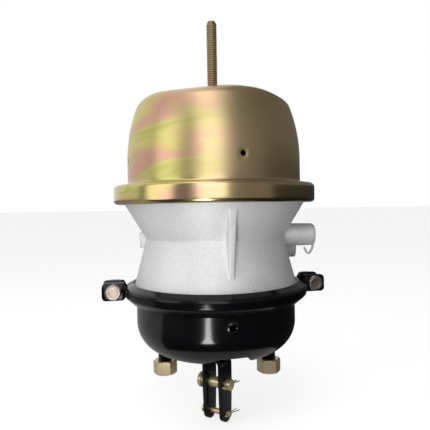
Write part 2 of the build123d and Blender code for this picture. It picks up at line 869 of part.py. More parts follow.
def cotter(radius, x, z, wire_r, tail):
    """Split pin: an eye on the near side and two spread legs on the far side."""
    shank_end = radius + wire_r
    shank = Rot(90, 0, 0) * Cylinder(wire_r, 2 * shank_end)
    eye_r = 1.8 * wire_r
    eye = Pos(0, -shank_end - 0.8 * eye_r, 0) * (
        Cylinder(eye_r, wire_r) - Cylinder(eye_r - 0.8 * wire_r, wire_r)
    )
    leg_length = tail - shank_end
    leg = Pos(0, leg_length / 2, 0) * Box(0.9 * wire_r, leg_length, 1.5 * wire_r)
    legs = [Pos(0, shank_end - 0.8 * wire_r, 0) * Rot(0, 0, lean) * leg for lean in (-22, -2)]
    return clevis_turn * Pos(x, 0, z) * (shank + eye + legs[0] + legs[1])


def clevis_pin():
    """Large pin that the brake lever hangs on."""
    return headed_pin(
        large_pin_r, large_pin_length, large_head_r, large_head_h, large_pin_slack,
        large_pin_z, large_cotter_r, large_cotter_x,
    )


def clevis_cotter():
    """Split pin of the large pin."""
    return cotter(large_pin_r, large_cotter_x, large_pin_z, large_cotter_r, large_cotter_tail)


def link_pin():
    """Small pin for the adjuster's link."""
    return headed_pin(
        small_pin_r, small_pin_length, small_head_r, small_head_h, small_pin_slack,
        small_pin_z, small_cotter_r, small_cotter_x,
    )


def link_cotter():
    """Split pin of the small pin."""
    return cotter(small_pin_r, small_cotter_x, small_pin_z, small_cotter_r, small_cotter_tail)


def port_plug():
    """Push-in dust plug of the upper port, with a folded pull tab under its flange."""
    end = upper_port_end
    plug = across(port_r - plug_gap, end - plug_depth, end, upper_port_z)
    flange = across(plug_flange_r, end, end + plug_flange_h, upper_port_z)
    flange = fillet(flange.faces().sort_by(Axis.X)[-1].edges(), 0.7 * plug_flange_h)
    top_z = upper_port_z - boss_r - 0.8
    fold = make_face(
        Polyline(
            (end + 1.2, top_z + 4), (end + 1.2, top_z - 1), (end - 0.45 * tab_reach, top_z - tab_drop),
            (end - tab_reach, top_z - 1.5), (end - tab_reach + tab_band, top_z - 0.5),
            (end - 0.45 * tab_reach + 0.3, top_z - tab_drop + 3.4), (end, top_z - 1),
            (end, top_z + 4), close=True,
        )
    )
    tab = extrude(Plane.XZ * fold, tab_width / 2, both=True)
    return plug + flange + tab


NODES = {
    "spring_housing": spring_housing,
    "flange_case": flange_case,
    "service_housing": service_housing,
    "spring_diaphragm": spring_diaphragm,
    "service_diaphragm": service_diaphragm,
    "clamp_band_front": lambda: clamp_half(-1),
    "clamp_band_rear": lambda: clamp_half(1),
    "clamp_bolts": clamp_bolts,
    "clamp_nuts": clamp_nuts,
    "mounting_studs": mounting_studs,
    "stud_nuts": stud_nuts,
    "port_plug": port_plug,
    "rod_bushing": rod_bushing,
    "rod_seals": rod_seals,
    "power_spring": power_spring,
    "spring_plate": spring_plate,
    "caging_bolt": caging_bolt,
    "caging_nut": caging_nut,
    "caging_washer": caging_washer,
    "adapter_rod": adapter_rod,
    "rod_plate": rod_plate,
    "adapter_spring": adapter_spring,
    "rod_foot": rod_foot,
    "foot_screw": foot_screw,
    "push_plate": push_plate,
    "push_rod": push_rod,
    "rod_guide": rod_guide,
    "return_spring": return_spring,
    "clevis_yoke": clevis_yoke,
    "clevis_pin": clevis_pin,
    "clevis_cotter": clevis_cotter,
    "link_pin": link_pin,
    "link_cotter": link_cotter,
}

os.makedirs("parts", exist_ok=True)
for node, make in NODES.items():
    shape = make()
    if isinstance(shape, list):
        shape = Compound(children=shape)
    export_step(shape, f"parts/{node}.step")
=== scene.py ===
# %% [markdown]
# # Air brake chamber
# A spring brake chamber pushes a truck's brake lever. Compressed air fills two round rooms, each
# closed by a rubber diaphragm, and a heavy spring in the top room holds the brake when the truck is
# parked. The plain solids come from the frame, in metres, with Z up along the push rod. This
# lesson gives them their finishes and makes again, more finely, what the eye looks at longest.

from math import asin, atan2, cos, hypot, pi, radians, sin, sqrt

import bmesh
import bpy
import numpy as np
from mathutils import Matrix, Vector


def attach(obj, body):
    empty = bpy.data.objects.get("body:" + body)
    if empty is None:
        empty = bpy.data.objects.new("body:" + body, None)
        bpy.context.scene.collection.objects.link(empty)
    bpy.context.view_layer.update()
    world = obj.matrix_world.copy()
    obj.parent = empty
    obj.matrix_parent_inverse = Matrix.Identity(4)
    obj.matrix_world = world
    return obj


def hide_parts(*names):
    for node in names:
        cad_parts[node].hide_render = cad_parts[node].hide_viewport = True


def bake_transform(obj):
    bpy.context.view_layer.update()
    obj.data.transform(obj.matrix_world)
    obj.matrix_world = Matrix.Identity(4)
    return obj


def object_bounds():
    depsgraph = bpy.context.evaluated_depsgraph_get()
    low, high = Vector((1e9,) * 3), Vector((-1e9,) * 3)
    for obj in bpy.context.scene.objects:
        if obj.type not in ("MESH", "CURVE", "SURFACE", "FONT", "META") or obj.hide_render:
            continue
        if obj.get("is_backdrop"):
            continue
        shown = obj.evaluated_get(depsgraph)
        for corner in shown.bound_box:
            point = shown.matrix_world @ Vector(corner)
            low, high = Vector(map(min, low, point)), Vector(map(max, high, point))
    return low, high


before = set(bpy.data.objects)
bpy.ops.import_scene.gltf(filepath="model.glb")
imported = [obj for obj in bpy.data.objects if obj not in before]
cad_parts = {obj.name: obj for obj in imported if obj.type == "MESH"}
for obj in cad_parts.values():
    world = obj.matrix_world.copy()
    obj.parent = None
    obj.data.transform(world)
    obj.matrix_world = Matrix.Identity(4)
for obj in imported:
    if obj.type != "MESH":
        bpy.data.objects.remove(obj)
MM = 0.001


def bounds_as_lists():
    """The whole object's box as plain lists, for the size note."""
    low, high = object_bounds()
    return [list(low), list(high)]


size_note = {"cad": bounds_as_lists()}
print("box of the solids", size_note["cad"])

# %% [markdown]
# ## The camera
# A camera could stand far off with a long lens, which flattens what it sees. This one stands level
# with the top of the casting, about half a metre away, because a short distance shows the rims
# curving: those above the eye bend one way and those below it the other way. It leans by a degree.

# %% Camera
eye_height = 163.0 * MM
eye_distance = 526.0 * MM
focal_pixels = 450.0
frame_pixels = 430.0
horizon_row = 206.5
axis_column = 214.3
lean_degrees = 0.95


def linked(name, data):
    """Object at the origin that shows some data, put in the scene."""
    item = bpy.data.objects.new(name, data)
    bpy.context.scene.collection.objects.link(item)
    return item


camera_data = bpy.data.cameras.new("camera")
camera = linked("camera", camera_data)
camera_data.sensor_width = 36.0
camera_data.lens = camera_data.sensor_width * focal_pixels / frame_pixels
camera_data.shift_y = (horizon_row - frame_pixels / 2) / frame_pixels
camera_data.shift_x = (frame_pixels / 2 - axis_column) / frame_pixels
camera.location = (0, -eye_distance, eye_height)
camera.rotation_euler = (radians(90), radians(lean_degrees), 0)
bpy.context.scene.camera = camera
bpy.context.scene.view_settings.view_transform = "Standard"
print("lens", round(camera_data.lens, 2), "mm, shift", round(camera_data.shift_x, 4))

# %% [markdown]
# ## A helper for nodes
# The world, the paints and the node trees below are all nodes joined by links. Adding a node, its
# settings and its inputs by hand takes many lines, so one helper does it: an input may be a link
# from another node or a plain value.

# %% Node helpers
def set_inputs(tree, node, inputs):
    """Sets inputs given as (socket, link or value) pairs."""
    for socket, value in inputs:
        if isinstance(value, bpy.types.NodeSocket):
            tree.links.new(value, node.inputs[socket])
        else:
            node.inputs[socket].default_value = value
    return node


def new_node(tree, kind, inputs=(), **settings):
    """Node of a kind with its settings and its inputs."""
    node = tree.nodes.new(kind)
    for name, value in settings.items():
        setattr(node, name, value)
    return set_inputs(tree, node, inputs)


def math_node(tree, operation, first, second=0.0):
    """Output of a math node on two links or numbers."""
    inputs = ((0, first), (1, second))
    return new_node(tree, "ShaderNodeMath", inputs, operation=operation).outputs[0]


def spread(tree, value, low, high, start=0.0, stop=1.0, **settings):
    """Value that runs from low to high while its source runs from start to stop."""
    inputs = (
        ("Value", value), ("From Min", start), ("From Max", stop), ("To Min", low), ("To Max", high),
    )
    return new_node(tree, "ShaderNodeMapRange", inputs, **settings).outputs["Result"]


print("node helpers", [helper.__name__ for helper in (set_inputs, new_node, math_node, spread)])

# %% [markdown]
# ## The world
# A studio is white all round, yet an even white light leaves no shading. So the world lights the
# part weakly, and only what looks straight at it, the camera, a mirror or glass, sees it white. The
# Light Path node tells the two apart.

# %% World
world_strength = 0.30

world = bpy.data.worlds.new("studio")
bpy.context.scene.world = world
world.use_nodes = True
ray = new_node(world.node_tree, "ShaderNodeLightPath").outputs
mirrored = math_node(world.node_tree, "MAXIMUM", ray["Is Camera Ray"], ray["Is Glossy Ray"])
seen = math_node(world.node_tree, "MAXIMUM", mirrored, ray["Is Transmission Ray"])
strength = spread(world.node_tree, seen, world_strength, 1.0)
backdrop = world.node_tree.nodes["Background"]
set_inputs(world.node_tree, backdrop, (("Color", (1, 1, 1, 1)), ("Strength", strength)))
print("world lights at", world_strength, "and is seen at 1")

# %% [markdown]
# ## The lamps
# A gloss surface is a mirror, so what it looks like depends on what stands round it. A panorama of a
# room could light it, but plain lamps give each highlight one known cause. A softbox in front draws
# the dome's broad highlight, a lamp at the side turns the casting's left lighter than its right, and
# a narrow strip that lies on the floor draws the bright line down the cup, which mirrors the floor.

# %% Lamps
def area_lamp(name, place, aim, width, tall, radiance):
    """Area lamp at a place, facing a point; radiance 1 is as bright as white paper."""
    data = bpy.data.lights.new(name, "AREA")
    data.shape = "RECTANGLE"
    data.size = width
    data.size_y = tall
    data.energy = radiance * pi * width * tall
    lamp = linked(name, data)
    lamp.location = place
    lamp.rotation_euler = (Vector(aim) - lamp.location).to_track_quat("-Z", "Y").to_euler()
    return lamp


def round_the_part(azimuth, distance, height):
    """Place at an azimuth in degrees from the camera's side, towards +X."""
    turn = radians(azimuth)
    return Vector((distance * sin(turn), -distance * cos(turn), height))


part_middle = (0, 0, eye_height)
lamps = {  # azimuth, distance, height, width, tall, radiance
    "softbox": (-2, 1.0, 0.45, 0.56, 0.80, 1.75),
    "side_lamp": (-58, 1.2, 0.40, 0.7, 1.2, 1.75),
    "top_lamp": (-6, 0.55, 1.2, 0.6, 0.8, 1.5),
}
for name, (azimuth, distance, height, *size_and_radiance) in lamps.items():
    area_lamp(name, round_the_part(azimuth, distance, height), part_middle, *size_and_radiance)

strip_azimuth, strip_distance, strip_height = -10.0, 0.61, -0.075
strip_width, strip_length, strip_radiance = 0.06, 0.72, 14.0
strip_place = round_the_part(strip_azimuth, strip_distance, strip_height)
floor_strip = area_lamp(
    "floor_strip", strip_place, strip_place + Vector((0, 0, 1)),
    strip_width, strip_length, strip_radiance,
)
floor_strip.rotation_euler = (radians(180), 0, radians(strip_azimuth))
print("lamps", [*lamps, "floor_strip"])

# %% [markdown]
# ## The floor
# The part stands over one large sheet of pale card. A mirror-like floor would double the part, so
# this one has no gloss at all. It also glows a little for the camera alone: that makes it as pale as
# a lit studio floor, and still leaves the part's own shadow on it.

# %% Floor
def studio_paint(name, shade, roughness, specular, glow=0.0):
    """Grey paint of the studio; its glow is seen by the camera and lights nothing."""
    material = bpy.data.materials.new(name)
    material.use_nodes = True
    tree = material.node_tree
    shader = tree.nodes["Principled BSDF"]
    set_inputs(tree, shader, (
        ("Base Color", (shade, shade, shade, 1)), ("Roughness", roughness),
        ("Specular IOR Level", specular),
    ))
    if glow:
        rays = new_node(tree, "ShaderNodeLightPath").outputs
        shown = math_node(tree, "MULTIPLY", rays["Is Camera Ray"], glow)
        set_inputs(tree, shader, (("Emission Color", (1, 1, 1, 1)), ("Emission Strength", shown)))
    return material


def staged_mesh(name, points, faces, material):
    """Mesh of the studio, marked as not part of the object."""
    mesh = bpy.data.meshes.new(name)
    mesh.from_pydata(points, [], faces)
    mesh.materials.append(material)
    item = linked(name, mesh)
    item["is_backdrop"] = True
    return item


floor_reach, floor_shade, floor_glow = 40.0, 0.75, 0.68
floor_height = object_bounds()[0].z - 0.5 * MM
floor_corners = [
    (x * floor_reach, y * floor_reach, floor_height) for x, y in ((-1, -1), (1, -1), (1, 1), (-1, 1))
]
floor_paint = studio_paint("white_floor", floor_shade, 1.0, 0.0, floor_glow)
staged_mesh("floor", floor_corners, [(0, 1, 2, 3)], floor_paint)
print("floor at", round(floor_height, 4))

# %% [markdown]
# ## The cards
# In a studio, cards stand beside a shiny part: a white one fills an edge with light and a black one
# draws it dark. Each card here is a curved strip round the part that only mirrors can see. It casts
# no shadow and adds no light, so it shapes the plating and the paint and leaves the floor alone.

# %% Cards
card_steps = 24
card_distance, card_height, edge_height = 1.3, 1.3, 0.30
mat_start, mat_height = 0.14, floor_height + MM


def curved_card(name, inner, outer, low, high, first, last, shade):
    """Card that follows a circle round the part, from one azimuth to another."""
    points = []
    for step in range(card_steps + 1):
        azimuth = first + (last - first) * step / card_steps
        points += [round_the_part(azimuth, inner, low), round_the_part(azimuth, outer, high)]
    faces = [(2 * n, 2 * n + 2, 2 * n + 3, 2 * n + 1) for n in range(card_steps)]
    card = staged_mesh(name, points, faces, studio_paint(name + "_paint", shade, 0.9, 0.5))
    card.visible_camera = False
    card.visible_diffuse = False
    card.visible_shadow = False


cards = {  # inner and outer radius, low and high edge, first and last azimuth, shade
    "grey_card": (card_distance, card_distance, floor_height, card_height, -84, -22, 0.36),
    "dim_card": (card_distance, card_distance, floor_height, card_height, 14, 62, 0.55),
    "dark_card": (card_distance, card_distance, floor_height, edge_height, 62, 165, 0.08),
    "upper_card": (card_distance, card_distance, edge_height, card_height, 62, 165, 0.42),
    "dark_mat": (mat_start, card_distance, mat_height, mat_height, -74, 150, 0.012),
    "ceiling": (0.0, card_distance, card_height, card_height, 0, 165, 0.5),
}
for name, measures in cards.items():
    curved_card(name, *measures)
print("cards", list(cards))

# %% [markdown]
# ## Turning a profile
# Most of this part is pressed or turned, so it is round. Blender's Screw modifier could spin a
# profile, but arrays of points can also be bent ring by ring afterwards, which gives pressed flats
# soft edges without a boolean. First come the profiles: outlines of radius and height in
# millimetres, with their corners rounded and their long pieces divided.

# %% Outlines
def rounded(corners, closed=True, arc_step=radians(7)):
    """Outline of (radius, height) corners; a third number rounds that corner off."""
    points = []
    count = len(corners)
    for index, corner in enumerate(corners):
        here = np.array(corner[:2], float)
        end = not closed and index in (0, count - 1)
        if len(corner) < 3 or end:
            points.append(here)
            continue
        before = np.array(corners[index - 1][:2], float) - here
        after = np.array(corners[(index + 1) % count][:2], float) - here
        before /= np.linalg.norm(before)
        after /= np.linalg.norm(after)
        half = np.arccos(np.clip(before @ after, -1, 1)) / 2
        back = corner[2] / np.tan(half)
        centre = here + (before + after) / np.linalg.norm(before + after) * corner[2] / np.sin(half)
        start, stop = here + before * back - centre, here + after * back - centre
        sweep = pi - 2 * half
        steps = max(2, int(np.ceil(sweep / arc_step)))
        side = np.sign(start[0] * stop[1] - start[1] * stop[0])
        for step in range(steps + 1):
            turn = side * sweep * step / steps
            points.append(
                centre
                + np.array([
                    start[0] * np.cos(turn) - start[1] * np.sin(turn),
                    start[0] * np.sin(turn) + start[1] * np.cos(turn),
                ])
            )
    return points


def finer(points, longest, closed=True):
    """The same outline with no piece longer than a given length."""
    result = []
    pairs = list(zip(points, points[1:] + (points[:1] if closed else [])))
    for start, stop in pairs:
        start, stop = np.array(start, float), np.array(stop, float)
        steps = max(1, int(np.ceil(np.linalg.norm(stop - start) / longest)))
        for step in range(steps):
            result.append(start + (stop - start) * step / steps)
    if not closed:
        result.append(np.array(points[-1], float))
    return result


def open_outline(corners, longest, arc_step=radians(7)):
    """Open outline with rounded corners and no long pieces, without its last point."""
    return finer(rounded(corners, closed=False, arc_step=arc_step), longest, closed=False)[:-1]


square = [(0, 0), (2, 0, 1), (2, 2), (0, 2)]
print("a square with one round corner has", len(rounded(square)), "points")

# %% [markdown]
# Spinning gives a grid of points: a row for each point of the outline and a column for each angle.
# The faces between them close into a shell. Where the outline touches the axis, its ring shrinks to
# one point, and merging the doubled points closes that pole.

# %% Spinning
def smooth_shaded(mesh, sharp_degrees=38.0):
    """Smooth shading that keeps edges sharper than an angle."""
    mesh.shade_smooth()
    mesh.set_sharp_from_angle(angle=radians(sharp_degrees))
    return mesh


def spun_rings(outline, around, first=0.0, last=2 * pi):
    """Points in a row for each outline point and a column for each angle; around may be the angles."""
    whole = abs(last - first - 2 * pi) < 1e-6
    given = isinstance(around, np.ndarray)
    angles = around if given else np.linspace(first, last, around, endpoint=not whole)
    outline = np.array(outline, float)
    rings = np.zeros((len(outline), len(angles), 3))
    rings[..., 0] = outline[:, :1] * np.sin(angles)
    rings[..., 1] = -outline[:, :1] * np.cos(angles)
    rings[..., 2] = outline[:, 1:]
    return rings


def mesh_of_rings(name, rings, closed_outline=True, whole_turn=True):
    """Closed mesh from rings, in millimetres; ends on the axis become a single point."""
    rows, columns = rings.shape[:2]
    points = (rings * MM).reshape(-1, 3)
    faces = []
    row_pairs = rows if closed_outline else rows - 1
    column_pairs = columns if whole_turn else columns - 1
    for row in range(row_pairs):
        upper = (row + 1) % rows
        for column in range(column_pairs):
            right = (column + 1) % columns
            faces.append((
                row * columns + column, row * columns + right,
                upper * columns + right, upper * columns + column,
            ))
    if not whole_turn:
        faces.append([row * columns for row in range(rows)])
        faces.append([row * columns + columns - 1 for row in range(rows)])
    mesh = bpy.data.meshes.new(name)
    mesh.from_pydata(points.tolist(), [], faces)
    tidy = bmesh.new()
    tidy.from_mesh(mesh)
    bmesh.ops.remove_doubles(tidy, verts=tidy.verts, dist=1e-6)
    bmesh.ops.recalc_face_normals(tidy, faces=tidy.faces)
    tidy.to_mesh(mesh)
    tidy.free()
    return smooth_shaded(mesh)


def turned(name, corners, around=128, arc_step=radians(9)):
    """Solid of revolution about Z from rounded corners that close on themselves or on the axis."""
    outline = rounded(corners, arc_step=arc_step)
    on_axis = [abs(point[0]) < 1e-6 for point in outline]
    if not any(on_axis):
        return mesh_of_rings(name, spun_rings(outline, around))
    start = next(n for n, touches in enumerate(on_axis) if touches and on_axis[n - 1])
    outline = outline[start:] + outline[:start]
    return mesh_of_rings(name, spun_rings(outline, around), closed_outline=False)


print("a turned disc has", len(turned("disc", [(0, 0), (5, 0), (5, 1), (0, 1)], 12).polygons), "faces")

# %% [markdown]
# ## Joining, placing and cutting
# A finished piece sits at the origin with its place in its mesh, so meshes are moved and joined
# here, and not objects. A modifier still needs an object for a moment: it is linked, evaluated to a
# plain mesh and removed. Holes are cut with the exact boolean, which keeps their edges clean.

# %% Mesh helpers
def joined(name, meshes):
    """One mesh that holds several closed shells."""
    together = bmesh.new()
    for mesh in meshes:
        together.from_mesh(mesh)
    result = bpy.data.meshes.new(name)
    together.to_mesh(result)
    together.free()
    return smooth_shaded(result)


def placed(mesh, matrix):
    """Mesh moved or turned in place; a copy stays behind for other uses."""
    copy = mesh.copy()
    copy.transform(matrix)
    return copy


def modified(mesh, kind, inputs=None, **settings):
    """Plain mesh after one modifier; inputs are a node tree's, by socket identifier."""
    item = linked(mesh.name, mesh)
    modifier = item.modifiers.new(kind.lower(), kind)
    for name, value in settings.items():
        setattr(modifier, name, value)
    for identifier, value in (inputs or {}).items():
        modifier[identifier] = value
    item.update_tag()
    graph = bpy.context.evaluated_depsgraph_get()
    result = bpy.data.meshes.new_from_object(item.evaluated_get(graph), depsgraph=graph)
    bpy.data.objects.remove(item)
    return result


def cut_mesh(mesh, cutters):
    """Mesh with closed cutters taken out of it."""
    for cutter_mesh in cutters:
        cutter = linked("cutter", cutter_mesh)
        mesh = modified(mesh, "BOOLEAN", operation="DIFFERENCE", solver="EXACT", object=cutter)
        bpy.data.objects.remove(cutter)
    return smooth_shaded(mesh)


def bevelled(mesh, width, segments=2, degrees=30):
    """Mesh with its sharp edges rounded."""
    rounded_off = modified(
        mesh, "BEVEL", width=width * MM, segments=segments, limit_method="ANGLE",
        angle_limit=radians(degrees),
    )
    return smooth_shaded(rounded_off)


print("mesh helpers", [helper.__name__ for helper in (joined, placed, cut_mesh, bevelled)])

# %% [markdown]
# Fasteners, bosses and holes lie along X or Y, or out from the axis at an angle. A few matrices turn
# a piece that was made upright into those places, and one function makes the bars that drill them.

# %% Places and drills
def moved_to(x, y, z):
    """Matrix that moves by millimetres."""
    return Matrix.Translation(Vector((x, y, z)) * MM)


def turned_about_z(degrees):
    """Matrix that turns about the part's own axis."""
    return Matrix.Rotation(radians(degrees), 4, "Z")


def outward_at(turn):
    """Unit vector away from the axis, at an azimuth from the near side."""
    return np.array([sin(turn), -cos(turn), 0.0])


def rod_mesh(name, radius, start, stop, around=32):
    """Plain round bar between two points, in millimetres."""
    start, stop = Vector(start) * MM, Vector(stop) * MM
    length = (stop - start).length / MM
    bar = turned(name, [(0, 0), (radius, 0), (radius, length), (0, length)], around)
    lie = Vector((0, 0, 1)).rotation_difference(stop - start).to_matrix().to_4x4()
    return placed(bar, Matrix.Translation(start) @ lie)


def radial_cutters(radius, height, azimuths, inner, outer):
    """Bars that pierce a wall at some azimuths."""
    up = np.array([0, 0, height])
    return [
        rod_mesh("drill", radius, outward_at(turn) * inner + up, outward_at(turn) * outer + up)
        for turn in azimuths
    ]


quarter = pi / 2
to_x_axis = Matrix.Rotation(quarter, 4, "Y")
to_near_side = Matrix.Rotation(quarter, 4, "X")
to_far_side = Matrix.Rotation(-quarter, 4, "X")
print("the near side is", outward_at(0.0))

# %% [markdown]
# ## Finishes that several materials share
# An effect that comes back on many pieces is a shader group with its own inputs, built once and
# placed in each material with that finish's values. A group only gives out colours, masks or
# heights; the shader itself stays in the material.

# %% Helpers for shader groups
def shader_group(name, inputs, outputs):
    """Empty shader group; inputs are (name, type, default) and outputs are (name, type)."""
    group = bpy.data.node_groups.new(name, "ShaderNodeTree")
    for socket_name, socket_type, default in inputs:
        socket = group.interface.new_socket(socket_name, in_out="INPUT", socket_type=socket_type)
        socket.default_value = default
    for socket_name, socket_type in outputs:
        group.interface.new_socket(socket_name, in_out="OUTPUT", socket_type=socket_type)
    return group, group.nodes.new("NodeGroupInput"), group.nodes.new("NodeGroupOutput")


def noise_node(tree, vector, scale, detail=4.0, roughness=0.55, distortion=0.0):
    """Noise on a vector; scale is a number or a link."""
    inputs = (
        ("Vector", vector), ("Scale", scale), ("Detail", detail), ("Roughness", roughness),
        ("Distortion", distortion),
    )
    return new_node(tree, "ShaderNodeTexNoise", inputs).outputs["Fac"]


def stretched(tree, vector, scale):
    """Vector multiplied along each axis."""
    inputs = ((0, vector), (1, scale))
    return new_node(tree, "ShaderNodeVectorMath", inputs, operation="MULTIPLY").outputs[0]


def colour_ramp(group, factor, stops):
    """Ramp of (place, colour) stops on a factor."""
    node = group.nodes.new("ShaderNodeValToRGB")
    ramp = node.color_ramp
    while len(ramp.elements) < len(stops):
        ramp.elements.new(0.5)
    for element, (place, colour) in zip(ramp.elements, stops):
        element.position = place
        element.color = (*colour, 1)
    group.links.new(factor, node.inputs["Fac"])
    return node.outputs["Color"]


print("group helpers", [helper.__name__ for helper in (shader_group, noise_node, colour_ramp)])

# %% [markdown]
# Yellow zinc plating tints by interference, so its colour follows the thickness of a clear film. A
# painted texture could show that, but a rule is closer to the real thing: the film's thickness
# drifts with height and with slow noise, and a ramp turns each thickness into its colour.

# %% Plating colours
plating_gold = (0.60, 0.45, 0.17)
plating_tan = (0.57, 0.40, 0.22)
plating_green = (0.43, 0.43, 0.10)
plating_lime = (0.56, 0.53, 0.17)
plating_pink = (0.62, 0.34, 0.25)
film_colours = [
    (0.00, plating_tan), (0.12, plating_gold), (0.30, plating_lime), (0.44, plating_green),
    (0.54, plating_lime), (0.66, plating_tan), (0.78, plating_pink), (0.90, plating_pink),
    (1.00, plating_tan),
]


def make_plating_group():
    """Colour of a thin chromate film whose thickness drifts with height and with slow noise."""
    group, inside, outside = shader_group(
        "plating_colours",
        [
            ("Vector", "NodeSocketVector", (0, 0, 0)),
            ("Bands per metre", "NodeSocketFloat", 8.0),
            ("Band slope", "NodeSocketFloat", 0.0),
            ("Band start", "NodeSocketFloat", 0.0),
            ("Wander", "NodeSocketFloat", 0.5),
            ("Patch scale", "NodeSocketFloat", 9.0),
        ],
        [("Color", "NodeSocketColor"), ("Patch", "NodeSocketFloat")],
    )
    given = inside.outputs
    axes = new_node(group, "ShaderNodeSeparateXYZ", ((0, given["Vector"]),)).outputs
    leaning = math_node(group, "MULTIPLY", axes["X"], given["Band slope"])
    rise = math_node(group, "ADD", axes["Z"], leaning)
    rise = math_node(group, "MULTIPLY", rise, given["Bands per metre"])
    rise = math_node(group, "ADD", rise, given["Band start"])
    flat = stretched(group, given["Vector"], (1.0, 1.0, 2.6))
    patch = noise_node(group, flat, given["Patch scale"], detail=2.0, roughness=0.45, distortion=0.4)
    away = math_node(group, "MULTIPLY", math_node(group, "SUBTRACT", patch, 0.5), given["Wander"])
    film = math_node(group, "FRACT", math_node(group, "ADD", rise, away))
    set_inputs(group, outside, (("Color", colour_ramp(group, film, film_colours)), ("Patch", patch)))
    return group


plating_group = make_plating_group()
print(plating_group.name, "with", len(film_colours), "stops")

# %% [markdown]
# Cast, painted and moulded skins all have a close grain with some slow unevenness under it. Real
# displacement would need millions of faces for it, so this group gives a height for a bump, and the
# slow part again by itself for clouds of colour.

# %% Grain
def make_grain_group():
    """Height of a fine skin: close grain with a little slow unevenness under it."""
    group, inside, outside = shader_group(
        "metal_grain",
        [
            ("Vector", "NodeSocketVector", (0, 0, 0)),
            ("Grain scale", "NodeSocketFloat", 900.0),
            ("Slow scale", "NodeSocketFloat", 60.0),
            ("Slow share", "NodeSocketFloat", 0.3),
        ],
        [("Height", "NodeSocketFloat"), ("Patch", "NodeSocketFloat")],
    )
    given = inside.outputs
    grain = noise_node(group, given["Vector"], given["Grain scale"], detail=3.0, roughness=0.6)
    slow = noise_node(group, given["Vector"], given["Slow scale"], detail=2.0, roughness=0.5)
    slow_part = math_node(group, "MULTIPLY", slow, given["Slow share"])
    height = math_node(group, "ADD", grain, slow_part)
    set_inputs(group, outside, (("Height", height), ("Patch", slow)))
    return group


grain_group = make_grain_group()
print(grain_group.name, "gives", [socket.name for socket in grain_group.interface.items_tree][:2])

# %% [markdown]
# Handling rubs the edges of bare metal first. The Geometry node's Pointiness tells how sharply a
# surface turns outwards, which finds those edges without marking them by hand. Noise breaks the
# mask up, because rubbing is never even.

# %% Rubbed edges
def make_edge_group():
    """Mask of convex edges, broken up by noise so that the rubbing looks uneven."""
    group, inside, outside = shader_group(
        "rubbed_edges",
        [
            ("Vector", "NodeSocketVector", (0, 0, 0)),
            ("Sharpness", "NodeSocketFloat", 14.0),
            ("Threshold", "NodeSocketFloat", 0.53),
        ],
        [("Mask", "NodeSocketFloat")],
    )
    pointiness = new_node(group, "ShaderNodeNewGeometry").outputs["Pointiness"]
    above = math_node(group, "SUBTRACT", pointiness, inside.outputs["Threshold"])
    mask = math_node(group, "MULTIPLY", above, inside.outputs["Sharpness"])
    breaks = noise_node(group, inside.outputs["Vector"], 420.0, detail=3.0, roughness=0.6)
    broken = math_node(group, "MULTIPLY", mask, breaks)
    limit = new_node(group, "ShaderNodeClamp", (("Value", broken),))
    group.links.new(limit.outputs[0], outside.inputs["Mask"])
    return group


edge_group = make_edge_group()
print("shader groups", [group.name for group in bpy.data.node_groups])

# %% [markdown]
# ## Materials
# Each material starts from the same few steps: read the piece's own coordinates, place the shared
# groups with this finish's values, and drive the colour, the roughness and a bump from them. What is
# the same all over the surface, such as a coat or how mirror-like it is, is set on the shader itself.

# %% Material helpers
def new_material(name):
    """Material with its tree, its shader and the piece's own coordinates."""
    material = bpy.data.materials.new(name)
    material.use_nodes = True
    tree = material.node_tree
    coordinates = tree.nodes.new("ShaderNodeTexCoord").outputs["Object"]
    return material, tree, tree.nodes["Principled BSDF"], coordinates


def placed_group(tree, group, coordinates, **values):
    """A shared group with this material's own values; their names use _ for a space."""
    inputs = [(name.replace("_", " "), value) for name, value in values.items()]
    return new_node(
        tree, "ShaderNodeGroup", [("Vector", coordinates), *inputs], node_tree=group
    )


def mixed(tree, factor, first, second):
    """Mix of two colours; each may be a link or a colour."""
    first, second = ((*part, 1) if isinstance(part, tuple) else part for part in (first, second))
    inputs = ((0, factor), (6, first), (7, second))
    return new_node(tree, "ShaderNodeMix", inputs, data_type="RGBA").outputs[2]


def bump(tree, height, strength, distance):
    """Normal bent by a height; the distance is in metres at full height."""
    inputs = (("Strength", strength), ("Distance", distance), ("Height", height))
    return new_node(tree, "ShaderNodeBump", inputs).outputs["Normal"]


def scaled_colour(colour, scale):
    """A colour made darker or lighter, never past white."""
    return tuple(min(1.0, scale * part) for part in colour)


print("half of white is", scaled_colour((1.0, 1.0, 1.0), 0.5))

# %% [markdown]
# Yellow zinc is a bright metal under a chromate film so thin that it tints: gold where it is thin,
# then pink, green and olive where the part hung longer in the bath. The drifting colours come from
# the shared group. On the dome they fade towards +X, the side in shade, into a plain tan: that fade
# is painted shade. Drawing the sheet through the press leaves fine level lines. A thread is painted
# darker between its ridges, towards its core: that darkening is painted shade.

# %% Yellow zinc
# Where the dome's drifting colour gives way to plain tan, from -X to +X: painted shade on the +X side.
shaded_side_reach = (-0.06, 0.03)
rim_to_wall = (0.186, 0.196)
# Painted shade between a thread's ridges.
groove_shade_colour = (0.22, 0.15, 0.09)


